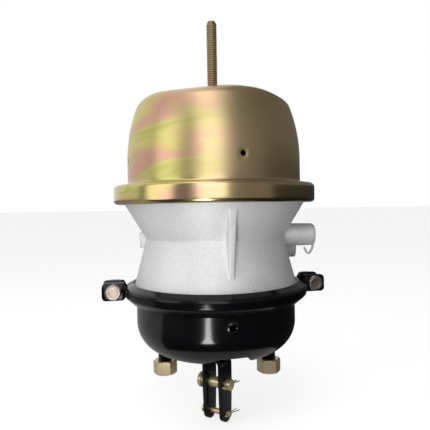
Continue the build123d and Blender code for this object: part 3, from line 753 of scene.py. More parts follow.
def yellow_zinc(
    name, base, tint_lit_to_shaded, roughness, brushed, metallic=1.0, shaded_groove=None, **plating_values
):
    """Yellow zinc plated steel.

    The tint is how much of the drifting colour shows at -X and at +X; less of it at +X, the side in
    shade, is painted shade. The roughness has a value for the rim and one above it. A shaded groove is
    the (core, crest) radius of a thread round Z, and painted shade darkens the thread towards its core.
    """
    material, tree, shader, coordinates = new_material(name)
    plating = placed_group(tree, plating_group, coordinates, **plating_values)
    axes = new_node(tree, "ShaderNodeSeparateXYZ", ((0, coordinates),)).outputs
    # Less drifting colour towards +X, the side in shade: painted shade.
    share = spread(tree, axes["X"], *tint_lit_to_shaded, *shaded_side_reach, interpolation_type="SMOOTHSTEP")
    tinted = mixed(tree, share, base, plating.outputs["Color"])
    drawn = stretched(tree, coordinates, (1.0, 1.0, brushed))
    lines = noise_node(tree, drawn, 110.0, detail=4.0, roughness=0.65)
    colour = mixed(tree, spread(tree, lines, 0.0, 0.35), tinted, scaled_colour(base, 0.72))
    # Painted shade: the thread darkens from its crest down to its core.
    if shaded_groove:
        level = stretched(tree, coordinates, (1.0, 1.0, 0.0))
        away = new_node(tree, "ShaderNodeVectorMath", ((0, level),), operation="LENGTH")
        crest = spread(tree, away.outputs["Value"], 0.0, 1.0, *shaded_groove)
        colour = mixed(tree, crest, groove_shade_colour, colour)
    set_inputs(tree, shader, (
        ("Base Color", colour), ("Metallic", metallic),
        ("Roughness", spread(tree, axes["Z"], *roughness, *rim_to_wall)),
        ("Normal", bump(tree, lines, strength=0.10, distance=0.0001)),
    ))
    return material


small_bands = dict(Bands_per_metre=40.0, Wander=1.6, Patch_scale=60.0)
# The dome's plating fades towards its shaded +X side, as painted shade.
dome_zinc = yellow_zinc(
    "yellow_zinc_dome", (0.55, 0.42, 0.24), (0.95, 0.15), (0.22, 0.36), brushed=9.0,
    Bands_per_metre=22.0, Band_slope=-0.22, Band_start=0.86, Wander=1.9, Patch_scale=12.0,
)
fastener_zinc = yellow_zinc(
    "yellow_zinc_fasteners", (0.76, 0.62, 0.40), (0.25, 0.25), (0.28, 0.28), brushed=1.0,
    metallic=0.55, **small_bands,
)
# The release bolt's thread gets painted shade between its ridges.
thread_zinc = yellow_zinc(
    "yellow_zinc_thread", (0.74, 0.58, 0.40), (0.2, 0.2), (0.30, 0.30), brushed=1.0,
    metallic=0.55, shaded_groove=(5.3 * MM, 6.2 * MM), **small_bands,
)
print("yellow zinc", dome_zinc.name, fastener_zinc.name, thread_zinc.name)

# %% [markdown]
# The waist is an aluminium casting left as it came from the mould: pale, matt and slightly pitted,
# with faint darker clouds where the metal chilled. A rough metal needs little more than a broad
# highlight, a speckle and a bump at the size of sand grains.

# %% Cast aluminium
def cast_aluminium():
    """As-cast aluminium with fine pitting."""
    material, tree, shader, coordinates = new_material("cast_aluminium")
    grain = placed_group(
        tree, grain_group, coordinates, Grain_scale=420.0, Slow_scale=26.0, Slow_share=0.5
    ).outputs
    edges = placed_group(tree, edge_group, coordinates, Sharpness=8.0, Threshold=0.52)
    pits = noise_node(tree, coordinates, 520.0, detail=3.0, roughness=0.75)
    clouds = mixed(tree, grain["Patch"], (0.70, 0.70, 0.715), (0.86, 0.86, 0.86))
    speckled = mixed(tree, spread(tree, pits, -0.25, 0.65), clouds, (0.40, 0.40, 0.42))
    set_inputs(tree, shader, (
        ("Base Color", mixed(tree, edges.outputs["Mask"], speckled, (0.90, 0.90, 0.90))),
        ("Metallic", 0.4), ("Roughness", spread(tree, grain["Height"], 0.45, 0.62)),
        ("Normal", bump(tree, grain["Height"], strength=0.5, distance=0.0005)),
    ))
    return material


aluminium = cast_aluminium()
print("casting", aluminium.name)

# %% [markdown]
# The cup, clamp band and yoke are dipped in black paint and baked. Such paint is smooth enough to
# mirror a lamp as a clean line, yet a slow waviness, orange peel, bends that line a little. A clear
# coat over a nearly black base gives the depth.

# %% Gloss black paint
coat_roughness = 0.10


def gloss_black(name, peel_scale, peel_depth, roughness, specular, coat):
    """Baked black paint with orange peel."""
    material, tree, shader, coordinates = new_material(name)
    grain = placed_group(
        tree, grain_group, coordinates, Grain_scale=peel_scale, Slow_scale=22.0, Slow_share=0.9
    ).outputs
    dusty = mixed(tree, grain["Patch"], (0.0012, 0.0012, 0.0018), (0.003, 0.003, 0.0042))
    set_inputs(tree, shader, (
        ("Base Color", dusty), ("Specular IOR Level", specular), ("Coat Weight", coat),
        ("Roughness", spread(tree, grain["Patch"], roughness, roughness + 0.05)),
        ("Coat Roughness", coat_roughness),
        ("Normal", bump(tree, grain["Height"], strength=0.2, distance=peel_depth)),
    ))
    return material


sheet_peel = dict(peel_scale=55.0, peel_depth=0.00012, roughness=0.14)
bar_peel = dict(peel_scale=160.0, peel_depth=0.0001, roughness=0.20)
pressed_black = gloss_black("gloss_black_pressing", specular=0.34, coat=0.3, **sheet_peel)
band_black = gloss_black("gloss_black_band", specular=0.18, coat=0.08, **sheet_peel)
forged_black = gloss_black("gloss_black_bar", specular=0.3, coat=0.2, **bar_peel)
print("paints", pressed_black.name, band_black.name, forged_black.name)

# %% [markdown]
# The clamp bolts are plain zinc, greyer and a little pink. Springs, rods and plates inside the
# chamber are rarely seen, but they get their own finishes too, because the model can be opened. One
# function makes them all: two shades drift into each other, and the edges are rubbed brighter.

# %% Zinc and bare steel
def plain_metal(name, dark, light, low, high, drawn=1.0, metallic=1.0):
    """Metal whose colour drifts from dark to light and its roughness from low to high."""
    material, tree, shader, coordinates = new_material(name)
    grain = placed_group(
        tree, grain_group, stretched(tree, coordinates, (1.0, 1.0, drawn)),
        Grain_scale=500.0, Slow_scale=90.0, Slow_share=0.4,
    ).outputs
    edges = placed_group(tree, edge_group, coordinates)
    cloudy = mixed(tree, grain["Patch"], dark, light)
    rubbed = mixed(tree, edges.outputs["Mask"], cloudy, scaled_colour(light, 1.3))
    set_inputs(tree, shader, (
        ("Base Color", rubbed), ("Metallic", metallic),
        ("Roughness", spread(tree, grain["Height"], low, high)),
        ("Normal", bump(tree, grain["Height"], strength=0.2, distance=0.0001)),
    ))
    return material


bolt_zinc = plain_metal("plain_zinc", (0.30, 0.25, 0.215), (0.46, 0.39, 0.34), 0.25, 0.42)
spring_black = plain_metal(
    "spring_black", (0.02, 0.02, 0.022), (0.05, 0.05, 0.05), 0.35, 0.55, metallic=0.4
)
spring_bright = plain_metal("spring_bright", (0.36, 0.36, 0.37), (0.52, 0.52, 0.53), 0.28, 0.42)
plate_steel = plain_metal("pressed_steel", (0.24, 0.24, 0.25), (0.38, 0.38, 0.38), 0.35, 0.5)
ground_steel = plain_metal(
    "ground_steel", (0.52, 0.52, 0.53), (0.64, 0.64, 0.65), 0.14, 0.24, drawn=12.0
)
print("metals", bolt_zinc.name, spring_black.name, spring_bright.name, plate_steel.name)

# %% [markdown]
# The diaphragms and seals are rubber, the bearing and guide are nylon and the dust plug is soft
# grey plastic. A plastic piece looks hard without some light from under its skin, so nylon and plug
# get a little subsurface scattering. Black rubber lets no light through and gets none.

# %% Rubber, nylon and plastic
def soft_material(name, dark, light, low, high, scale, depth, subsurface=0.0):
    """Rubber or plastic with a fine grain; its roughness drifts from low to high."""
    material, tree, shader, coordinates = new_material(name)
    grain = placed_group(
        tree, grain_group, coordinates, Grain_scale=scale, Slow_scale=70.0, Slow_share=0.4
    ).outputs
    set_inputs(tree, shader, (
        ("Base Color", mixed(tree, grain["Patch"], dark, light)),
        ("Roughness", spread(tree, grain["Height"], low, high)),
        ("Subsurface Weight", subsurface), ("Subsurface Scale", MM),
        ("Normal", bump(tree, grain["Height"], strength=0.25, distance=depth)),
    ))
    return material


rubber_black = soft_material(
    "diaphragm_rubber", (0.012,) * 3, (0.028,) * 3, 0.55, 0.75, scale=1600.0, depth=0.0002
)
nylon_cream = soft_material(
    "nylon", (0.62, 0.58, 0.49), (0.72, 0.68, 0.58), 0.35, 0.5, scale=700.0, depth=0.0001,
    subsurface=0.2,
)
plug_grey = soft_material(
    "plug_plastic", (0.50, 0.50, 0.51), (0.64, 0.64, 0.64), 0.35, 0.5, scale=300.0, depth=0.0001,
    subsurface=0.3,
)
print("soft finishes", rubber_black.name, nylon_cream.name, plug_grey.name)

# %% [markdown]
# ## Who gets which finish
# Every node of the frame has a finish, also those that a finer piece stands for, since a maker picks
# a finish by what a part does and not by how it is drawn. A finished piece rides on its body, and
# the node that it stands for is hidden.

# %% Finishes of the nodes
nodes_by_finish = {
    dome_zinc: ("spring_housing",),
    aluminium: ("flange_case",),
    pressed_black: ("service_housing",),
    band_black: ("clamp_band_front", "clamp_band_rear"),
    forged_black: ("clevis_yoke", "push_rod", "mounting_studs"),
    bolt_zinc: ("clamp_bolts", "clamp_nuts", "foot_screw"),
    fastener_zinc: (
        "stud_nuts", "clevis_pin", "clevis_cotter", "link_pin", "link_cotter", "caging_nut",
        "caging_washer",
    ),
    thread_zinc: ("caging_bolt",),
    spring_black: ("power_spring",),
    spring_bright: ("adapter_spring", "return_spring"),
    plate_steel: ("push_plate", "spring_plate", "rod_plate", "rod_foot"),
    ground_steel: ("adapter_rod",),
    rubber_black: ("spring_diaphragm", "service_diaphragm", "rod_seals"),
    nylon_cream: ("rod_bushing", "rod_guide"),
    plug_grey: ("port_plug",),
}
node_finish = {node: finish for finish, nodes in nodes_by_finish.items() for node in nodes}
for node_name, finish in node_finish.items():
    node_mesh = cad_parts[node_name].data
    node_mesh.materials.clear()
    node_mesh.materials.append(finish)
    smooth_shaded(node_mesh, 32.0)


def painted(name, node, mesh):
    """Object of a mesh with its node's finish, standing for that node, which is hidden."""
    item = linked(name, mesh)
    item.data.materials.clear()
    item.data.materials.append(node_finish[node])
    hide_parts(node)
    print(node, "faces", len(item.data.polygons))
    return item


def finished(node, mesh, body="housing", name=None):
    """Painted piece that rides on one body."""
    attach(painted(name or node, node, mesh), body)


print("nodes with a finish", len(node_finish))

# %% [markdown]
# ## The pressed dome
# The dome is one sheet: a straight wall that leans in towards the crown and a round shoulder, and
# below it a rim that was rolled round the casting's flange. The leaning wall and the shoulder are
# two arcs, so the angle at which they meet is worked out and not guessed.

# %% Dome values and curve
dome_wall = 3.0
rim_low, rim_high = 166.5, 187.6
rim_radius, dome_radius, crimp_radius = 114.5, 98.9, 105.0
rim_round = 4.5
taper_start, taper_radius = 215.0, 170.0
shoulder_radius, crown_height, crown_hole = 22.0, 286.9, 9.5
flat_azimuth, flat_tilt, flat_depth, flat_softness = radians(-18.0), radians(68), 3.2, 1.0
vent_azimuth, vent_height, vent_radius = radians(17.0), 214.0, 2.9
vent_dimple_radius, vent_dimple_depth = 4.6, 0.8


def arc_points(centre, radius, start, stop, steps):
    """Points of an arc; angles run from the radius axis towards the height axis."""
    return [
        (centre[0] + radius * cos(turn), centre[1] + radius * sin(turn))
        for turn in np.linspace(start, stop, steps + 1)
    ]


taper_lean = asin((crown_height - shoulder_radius - taper_start) / (taper_radius - shoulder_radius))
shoulder_centre = (
    dome_radius - (taper_radius - shoulder_radius) * (1 - cos(taper_lean)) - shoulder_radius,
    crown_height - shoulder_radius,
)


def dome_curve(wall):
    """The dome above its straight wall, from the taper to the edge of the crown's flat."""
    taper_centre = (dome_radius - taper_radius, taper_start)
    curve = arc_points(taper_centre, taper_radius - wall, 0.0, taper_lean, 26)
    return curve + arc_points(shoulder_centre, shoulder_radius - wall, taper_lean, pi / 2, 22)[1:]


print("taper leans", round(taper_lean, 3), "radians")

# %% [markdown]
# The sheet has an outer and an inner skin, a wall apart. Each is an outline from the rolled rim up
# to the hole in the crown. The rim's corners are rounded, because sheet cannot fold to an edge.

# %% Dome skins
outer_foot = rounded(
    [
        (crimp_radius, rim_low), (rim_radius, rim_low, rim_round), (rim_radius, rim_high, rim_round),
        (dome_radius, rim_high, 3.6), (dome_radius, taper_start),
    ],
    closed=False,
)
inner_foot = rounded(
    [
        (crimp_radius, rim_low + dome_wall), (rim_radius - dome_wall, rim_low + dome_wall, 1.5),
        (rim_radius - dome_wall, rim_high - dome_wall, 1.5),
        (dome_radius - dome_wall, rim_high - dome_wall, 1.0),
        (dome_radius - dome_wall, taper_start),
    ],
    closed=False,
)
dome_points_apart, dome_columns = 3.0, 448


def dome_line(foot, wall):
    """One skin's outline, from the rim to the crown's hole."""
    line = foot[:-1] + dome_curve(wall) + [(crown_hole, crown_height - wall)]
    return finer(line, dome_points_apart, closed=False)


outer_line, inner_line = dome_line(outer_foot, 0), dome_line(inner_foot, dome_wall)
dome_rings = spun_rings(outer_line + inner_line[::-1], dome_columns)
print("dome rows and columns", dome_rings.shape[:2])

# %% [markdown]
# The press flattens the shoulder at four places and punches four vents. A boolean would leave knife
# edges there, but a press leaves soft ones. So every point outside a flat's plane is drawn back to
# it with a smooth step, and the sheet dips a little round each vent. The holes are then cut.

# %% Flats and vents
vent_turns = [vent_azimuth + n * quarter for n in range(4)]
vent_inner, vent_outer = 90.0, 104.0


def pressed_flats(rings, outer_rows):
    """Draws points that stand outside a flat's plane back to it."""
    up = np.array([0, 0, 1.0])
    reach = np.full(len(rings), shoulder_radius - flat_depth)
    reach[outer_rows:] -= dome_wall
    for n in range(4):
        across_flat = outward_at(flat_azimuth + n * quarter)
        normal = across_flat * cos(flat_tilt) + up * sin(flat_tilt)
        centre = across_flat * shoulder_centre[0] + up * shoulder_centre[1]
        outside = (rings - centre) @ normal - reach[:, None]
        step = flat_softness * np.logaddexp(0, outside / flat_softness)
        rings = rings - step[..., None] * normal
    return rings


def dimpled_vents(rings):
    """A shallow dimple round each vent, where the punch went in."""
    for turn in vent_turns:
        centre = outward_at(turn) * dome_radius + (0, 0, vent_height)
        away = np.linalg.norm(rings - centre, axis=2)
        dent = vent_dimple_depth * np.exp(-((away / vent_dimple_radius) ** 4))
        rings = rings - dent[..., None] * outward_at(turn)
    return rings


dome_mesh = mesh_of_rings("dome", dimpled_vents(pressed_flats(dome_rings, len(outer_line))))
vent_cutters = radial_cutters(vent_radius, vent_height, vent_turns, vent_inner, vent_outer)
finished("spring_housing", cut_mesh(dome_mesh, vent_cutters), name="dome")

# %% [markdown]
# ## Straps and wires
# The clamp's ears, the yoke and the plug's tab are flat bars bent along a path, and a split pin is a
# bent wire. A curve with a bevel could make them, but the strap's width has to change on its way.
# So both are sections set across a path of points, in millimetres.

# %% Straps and wires
def directions(path):
    """Unit direction of a path at each of its points."""
    along = np.gradient(path, axis=0)
    return along / np.linalg.norm(along, axis=1)[:, None]


def strap(name, path, widths, thickness, plane="XZ"):
    """Flat bar along a path in a plane; widths are its (low, high) reach across that plane."""
    path = np.array(path, float)
    along = directions(path)
    aside = np.stack([-along[:, 1], along[:, 0]], axis=1) * thickness / 2
    rings = np.zeros((4, len(path), 3))
    across, rise, depth = (0, 2, 1) if plane == "XZ" else (0, 1, 2)
    for row, (side, reach) in enumerate(((1, 0), (1, 1), (-1, 1), (-1, 0))):
        rings[row, :, across] = path[:, 0] + side * aside[:, 0]
        rings[row, :, rise] = path[:, 1] + side * aside[:, 1]
        rings[row, :, depth] = [width[reach] for width in widths]
    return mesh_of_rings(name, rings, whole_turn=False)


def wire(name, path, radius, sides=12):
    """Round wire along a path of points, whose section never twists."""
    path = np.array(path, float)
    along = directions(path)
    aside = np.cross(along[0], (0.0, 0.0, 1.0))
    rings = np.zeros((sides, len(path), 3))
    for step, (point, way) in enumerate(zip(path, along)):
        aside = aside - way * (aside @ way)
        aside /= np.linalg.norm(aside)
        other = np.cross(way, aside)
        for side in range(sides):
            turn = 2 * pi * side / sides
            rings[side, step] = point + radius * (aside * cos(turn) + other * sin(turn))
    return mesh_of_rings(name, rings, whole_turn=False)


print("a short strap has", len(strap("try", [(0, 0), (9, 0)], [(0, 1)] * 2, 1).polygons), "faces")

# %% [markdown]
# A hexagon nut's corners are turned off by a cone, which leaves a curved line on each flat. The nut
# is spun like a round piece, but each ring's radius is the smaller of the hexagon and the cone, so
# that curve comes by itself.

# %% Nuts
bore_chamfer, face_share, cone_share, cone_steepness, corner_slack = 0.9, 0.90, 0.955, 0.5, 1.001


def hex_nut(name, flats, height, bore, per_side=16):
    """Hexagon nut with a cone chamfer on both faces; it stands on the origin."""
    columns = 6 * per_side
    turns = np.arange(columns) * 2 * pi / columns
    hexagon = flats / 2 / np.cos((turns + pi / 6) % (pi / 3) - pi / 6)
    corner = flats / sqrt(3)
    drop = cone_steepness * (corner - flats / 2)
    cone_start = flats / 2 * cone_share
    face = [(bore, bore_chamfer), (bore + bore_chamfer, 0.0), (flats / 2 * face_share, 0.0)]
    rings = [[row] * columns for row in face]
    rise = np.linspace(0, drop, 6)
    for level in [*rise, *(height - rise[::-1])]:
        inset = min(level, height - level) / drop
        limit = cone_start + (corner * corner_slack - cone_start) * inset
        rings.append([(min(side, limit), level) for side in hexagon])
    rings += [[(radius, height - level)] * columns for radius, level in face[::-1]]
    radii, levels = np.moveaxis(np.array(rings), 2, 0)
    solid = np.stack([radii * np.sin(turns), -radii * np.cos(turns), levels], axis=2)
    return smooth_shaded(mesh_of_rings(name, solid), 22)


print("a nut has", len(hex_nut("try", 10, 5, 3).polygons), "faces")

# %% [markdown]
# ## Threads and springs by Geometry Nodes
# A screw thread and a coil spring are the same idea: a profile wound round an axis. One node tree
# winds both, and its named inputs are the turns, the two radii, the height, the wire and its number
# of sides. A wire with four sides is a thread's ridge. Both ends of every tree are the same.

# %% The start and end of a node tree
def geometry_tree(name, inputs):
    """Geometry node tree with named inputs and one geometry output."""
    tree = bpy.data.node_groups.new(name, "GeometryNodeTree")
    tree.interface.new_socket("Geometry", in_out="OUTPUT", socket_type="NodeSocketGeometry")
    for socket_name, socket_type, default in inputs:
        socket = tree.interface.new_socket(socket_name, in_out="INPUT", socket_type=socket_type)
        if default is not None:
            socket.default_value = default
    return tree, tree.nodes.new("NodeGroupInput"), tree.nodes.new("NodeGroupOutput")


def ended(tree, inside, outside, geometry):
    """Last two steps of every tree: real geometry with its material."""
    real = new_node(tree, "GeometryNodeRealizeInstances", (("Geometry", geometry),))
    painting = (("Geometry", real.outputs["Geometry"]), ("Material", inside.outputs["Material"]))
    paint = new_node(tree, "GeometryNodeSetMaterial", painting)
    tree.links.new(paint.outputs["Geometry"], outside.inputs["Geometry"])
    return tree


def from_tree(name, tree, **values):
    """Mesh that a node tree makes with these inputs; names use _ for a space."""
    sockets = {
        socket.name: socket.identifier
        for socket in tree.interface.items_tree if socket.in_out == "INPUT"
    }
    inputs = {sockets[key.replace("_", " ")]: value for key, value in values.items()}
    mesh = modified(bpy.data.meshes.new(name), "NODES", inputs, node_group=tree)
    return smooth_shaded(mesh, 50)


print("tree helpers", [helper.__name__ for helper in (geometry_tree, ended, from_tree)])

# %% [markdown]
# The winding tree takes Blender's spiral, whose radius may change on its way up, stands its normals
# upright so that a ridge doesn't roll over, and sweeps the wire's circle along it.

# %% Winding tree
def make_winding_tree():
    """A round or ridged wire wound round Z."""
    tree, inside, outside = geometry_tree(
        "wound_wire",
        [
            ("Turns", "NodeSocketFloat", 3.0), ("Low radius", "NodeSocketFloat", 0.03),
            ("High radius", "NodeSocketFloat", 0.03), ("Height", "NodeSocketFloat", 0.1),
            ("Wire radius", "NodeSocketFloat", 0.002), ("Wire sides", "NodeSocketInt", 12),
            ("Steps per turn", "NodeSocketInt", 48), ("Material", "NodeSocketMaterial", None),
        ],
    )
    given = inside.outputs
    spiral = new_node(tree, "GeometryNodeCurveSpiral", (
        ("Rotations", given["Turns"]), ("Start Radius", given["Low radius"]),
        ("End Radius", given["High radius"]), ("Height", given["Height"]),
        ("Resolution", given["Steps per turn"]),
    )).outputs["Curve"]
    circle = (("Resolution", given["Wire sides"]), ("Radius", given["Wire radius"]))
    profile = new_node(tree, "GeometryNodeCurvePrimitiveCircle", circle).outputs["Curve"]
    upright = new_node(tree, "GeometryNodeSetCurveNormal", (("Curve", spiral),), mode="Z_UP")
    solid = new_node(tree, "GeometryNodeCurveToMesh", (
        ("Curve", upright.outputs["Curve"]), ("Profile Curve", profile), ("Fill Caps", True),
    ))
    return ended(tree, inside, outside, solid.outputs["Mesh"])


winding_tree = make_winding_tree()


def wound(name, low, high, low_radius, high_radius, wire_radius, turns, finish, sides=16, steps=64):
    """Wire wound between two heights in millimetres, resting on both."""
    mesh = from_tree(
        name, winding_tree, Turns=float(turns), Low_radius=low_radius * MM,
        High_radius=high_radius * MM, Height=(high - low - 2 * wire_radius) * MM,
        Wire_radius=wire_radius * MM, Wire_sides=sides, Steps_per_turn=steps, Material=finish,
    )
    return placed(mesh, moved_to(0, 0, low + wire_radius))


def threaded(name, core_radius, crest_radius, low, high, pitch, finish):
    """Ridge of a screw thread round a core, to be joined to a plain bar of the core's radius."""
    ridge = crest_radius - core_radius
    return wound(
        name, low, high, core_radius, core_radius, ridge, (high - low - 2 * ridge) / pitch,
        finish, sides=4, steps=32,
    )


print("winding tree has", len(winding_tree.nodes), "nodes")

# %% [markdown]
# The studs, the clamp bolts and their nuts come in pairs, alike and evenly spaced. A second tree
# sets any number of copies of a piece on a line along X, centred on the part's axis.

# %% Repeating tree
def make_repeat_tree():
    """One piece at points along X, a spacing apart and centred on the origin."""
    tree, inside, outside = geometry_tree(
        "repeated_along_x",
        [
            ("Piece", "NodeSocketObject", None), ("Count", "NodeSocketInt", 2),
            ("Spacing", "NodeSocketFloat", 0.1), ("Material", "NodeSocketMaterial", None),
        ],
    )
    given = inside.outputs
    gaps = math_node(tree, "SUBTRACT", given["Count"], 1.0)
    length = math_node(tree, "MULTIPLY", gaps, given["Spacing"])
    first = math_node(tree, "MULTIPLY", length, -0.5)
    start = new_node(tree, "ShaderNodeCombineXYZ", (("X", first),)).outputs[0]
    step = new_node(tree, "ShaderNodeCombineXYZ", (("X", given["Spacing"]),)).outputs[0]
    row = new_node(tree, "GeometryNodeMeshLine", (
        ("Count", given["Count"]), ("Start Location", start), ("Offset", step),
    ))
    piece = new_node(tree, "GeometryNodeObjectInfo", (("Object", given["Piece"]),))
    copies = new_node(tree, "GeometryNodeInstanceOnPoints", (
        ("Points", row.outputs["Mesh"]), ("Instance", piece.outputs["Geometry"]),
    ))
    return ended(tree, inside, outside, copies.outputs["Instances"])


repeat_tree = make_repeat_tree()


def repeated(name, mesh, spacing, finish, count=2):
    """A mesh at points along X."""
    piece = linked("one_" + name, mesh)
    result = from_tree(
        name, repeat_tree, Piece=piece, Count=count, Spacing=spacing * MM, Material=finish
    )
    bpy.data.objects.remove(piece)
    return result


print("node trees", [winding_tree.name, repeat_tree.name])

# %% [markdown]
# ## The cast waist
# The casting is spun like the dome. Its clamp seat is worked out from the band that grips it: the
# band's own outline is moved inwards by its wall and a small clearance, with mitred corners.

# %% Casting values and its clamp seat
band_radius = 104.5
band_wall, seat_clearance = 3.0, 0.05
band_outside = [(93.6, 55.5), (band_radius, 65.0), (band_radius, 74.0), (94.6, 78.7)]
clamp_flange_radius = 100.0
waist = (79.1, 127.7)
case_low, case_high = (92.0, 78.5), (104.4, 169.5)
case_top = 179.05
case_wall = 6.5
bowl_round = 8.0
hub_radius, hub_bore, hub_low, hub_high = 24.0, 11.5, 107.0, 136.0
web_low, web_high = 117.0, 125.0
mouth_radius, mouth_depth = 95.6, 13.5
case_flange_height, cup_flange_height = 70.0, 67.0


def inset_chain(chain, distance):
    """Open chain of points moved to its left, with mitred corners."""
    lines = []
    for start, stop in zip(np.array(chain[:-1], float), np.array(chain[1:], float)):
        way = (stop - start) / np.linalg.norm(stop - start)
        shift = np.array([-way[1], way[0]]) * distance
        lines.append((start + shift, way, stop + shift))
    moved = [tuple(lines[0][0])]
    for (start, way, _), (other, other_way, _) in zip(lines, lines[1:]):
        share = np.linalg.solve(np.stack([way, -other_way], axis=1), other - start)[0]
        moved.append(tuple(start + way * share))
    return moved + [tuple(lines[-1][2])]


def height_at(start, stop, radius):
    """Height of a slanting line at a radius."""
    return start[1] + (stop[1] - start[1]) * (radius - start[0]) / (stop[0] - start[0])


seat = inset_chain(band_outside, band_wall + seat_clearance)
print("clamp seat from", [round(float(value), 2) for value in seat[0]])

# %% [markdown]
# A casting has draft and even walls, so its inside follows its outside at the wall's distance. Two
# bowls meet at a web, and the web carries the hub that guides the rod.

# %% Casting outlines
lower_slope = (case_low[0] - waist[0]) / (waist[1] - case_low[1])
upper_slope = (case_high[0] - waist[0]) / (case_high[1] - waist[1])
lower_inside = waist[0] - case_wall
lower_mouth = lower_inside + lower_slope * (waist[1] - case_flange_height)
ceiling_radius = lower_inside + lower_slope * (waist[1] - web_low)
floor_radius = mouth_radius - upper_slope * (case_top - mouth_depth - web_high)
seat_edge = height_at(seat[2], seat[3], clamp_flange_radius)
flange_radius = 111.2
case_outside = open_outline(
    [
        (lower_mouth, case_flange_height), (clamp_flange_radius, case_flange_height, 0.5),
        (clamp_flange_radius, seat_edge, 0.5), (*seat[3], 1.2), (*case_low, 1.0), (*waist, 3.0),
        (*case_high, 1.5), (flange_radius, case_high[1]), (flange_radius, case_top),
        (mouth_radius, case_top),
    ],
    1.6,
)
upper_bowl = [(mouth_radius, case_top - mouth_depth, 2.0), (floor_radius, web_high, bowl_round)]
lower_bowl = [(ceiling_radius, web_low, bowl_round), (lower_mouth, case_flange_height)]
case_inside = open_outline(
    [
        (mouth_radius, case_top), *upper_bowl, (hub_radius, web_high, 3.0),
        (hub_radius, hub_high, 1.0), (hub_bore, hub_high), (hub_bore, hub_low),
        (hub_radius, hub_low, 1.0), (hub_radius, web_low, 3.0), *lower_bowl,
    ],
    4.0,
)
print("casting rows", len(case_outside) + len(case_inside))

# %% [markdown]
# Two ribs run up the waist from clamp to flange, with a straight front and drafted sides. The spun
# surface is lifted to that front. Its columns stand close together near the ribs, so the rib's edge
# is sharp there and the rest of the round needs few points.

# %% Ribs
rib_azimuths = (radians(10.5), radians(190.5))
rib_foot, rib_head = (88.6, 90.0), (99.0, 161.0)
rib_half_low, rib_half_high = 2.6, 4.4
rib_edge, rib_fillet, rib_overrun, rib_skirt = 0.22, 2.2, 0.1, 0.12
behind, steepest = 99.0, 40.0
rib_close, rib_wide, rib_zone = radians(0.26), radians(1.25), radians(5.0)


def case_turns():
    """Angles of the casting's columns, close together at the ribs."""
    turns = []
    turn = rib_azimuths[0]
    while turn < rib_azimuths[0] + 2 * pi - rib_close / 2:
        turns.append(turn)
        away = min(abs((turn - rib + pi) % (2 * pi) - pi) for rib in rib_azimuths)
        turn += rib_close if away < rib_zone else rib_wide
    return np.array(turns)


def with_ribs(rings, outside_rows, turns):
    """Lifts the outer surface to the ribs' fronts."""
    outer = rings[:outside_rows]
    radius = np.hypot(outer[..., 0], outer[..., 1])
    share = (outer[..., 2] - rib_foot[1]) / (rib_head[1] - rib_foot[1])
    front = rib_foot[0] + (rib_head[0] - rib_foot[0]) * share
    in_reach = (share > -rib_overrun) * (share < 1 + rib_overrun)
    lift = np.clip(front - radius, 0, None) * in_reach
    half = rib_half_low + (rib_half_high - rib_half_low) * np.clip(share, 0, 1)
    for rib in rib_azimuths:
        aside = np.abs(front * np.sin(turns - rib)[None, :])
        aside = np.where(np.cos(turns - rib)[None, :] > 0, aside, behind)
        body = 1 / (1 + np.exp(np.clip((aside - half) / rib_edge, -steepest, steepest)))
        skirt = rib_skirt * np.exp(-np.clip(aside - half, 0, None) / rib_fillet)
        grown = 1 + lift * (body + (1 - body) * skirt) / radius
        outer = outer * np.stack([grown, grown, np.ones_like(grown)], axis=2)
        lift = lift * (1 - body)
        radius = np.hypot(outer[..., 0], outer[..., 1])
    return np.concatenate([outer, rings[outside_rows:]])


turns_of_case = case_turns()
case_rings = spun_rings(case_outside + case_inside, turns_of_case)
case_mesh = mesh_of_rings("flange_case", with_ribs(case_rings, len(case_outside), turns_of_case))
print("casting columns", len(turns_of_case))

# %% [markdown]
# Two round bosses carry the air ports, and a flat pad opposite could take a third. They are plain
# shapes that start inside the wall, and what would stand in the bowls is cut away from them.

# %% Ports and pad
bowl_cutters = [
    turned("upper_bowl", [(0, case_top), (mouth_radius, case_top), *upper_bowl, (0, web_high)], 96),
    turned("lower_bowl", [(0, web_low), *lower_bowl, (0, case_flange_height)], 96),
]
port_radius, port_depth, drill_radius = 7.3, 16.0, 4.0
boss_radius, boss_draft, boss_start, draft_start = 13.1, radians(0.6), 62.0, 47.5
boss_foot_round, boss_face_round = 0.35, 0.25
port_lead, port_ridge, port_pitch = 1.2, 0.45, 1.4
upper_port, lower_port = (113.3, 0.0, 129.0), (98.0, 30.0, 112.4)
pad_inner, pad_outer, pad_height, pad_half, pad_tall = -68.0, -86.0, 126.0, 12.5, 18.0


def port_boss(end, y, z):
    """Round boss with a tapped port, its end faced flat, and the ridge of the port's thread."""
    length = end - boss_start
    face = boss_radius - (end - draft_start) * sin(boss_draft) + boss_face_round
    boss = turned(
        "boss",
        [
            (drill_radius, 0), (boss_radius + boss_foot_round, 0), (face, length, 0.9),
            (port_radius + port_lead, length), (port_radius, length - port_lead),
            (port_radius, length - port_depth), (drill_radius, length - port_depth - 2),
        ],
        around=72,
    )
    ridge = threaded(
        "port_thread", port_radius, port_radius + port_ridge, length - 12, length - 1.6,
        port_pitch, aluminium,
    )
    place = moved_to(boss_start, y, z) @ to_x_axis
    return cut_mesh(placed(boss, place), bowl_cutters), placed(ridge, place)


def blank_pad():
    """Flat pad on the far side of the ports, where a third port could be drilled."""
    line = [(pad_inner, pad_height), (pad_outer, pad_height)]
    box = strap("pad", line, [(-pad_half, pad_half)] * 2, pad_tall)
    return cut_mesh(bevelled(box, 1.6, 3), bowl_cutters)


case_pieces = [case_mesh, blank_pad(), *port_boss(*upper_port), *port_boss(*lower_port)]
finished("flange_case", joined("flange_case", case_pieces))

# %% [markdown]
# ## The pressed cup
# The cup is spun too, its wall an even distance inside its outside. Its flange leans as the casting's
# does, so that the band's V draws the two together.

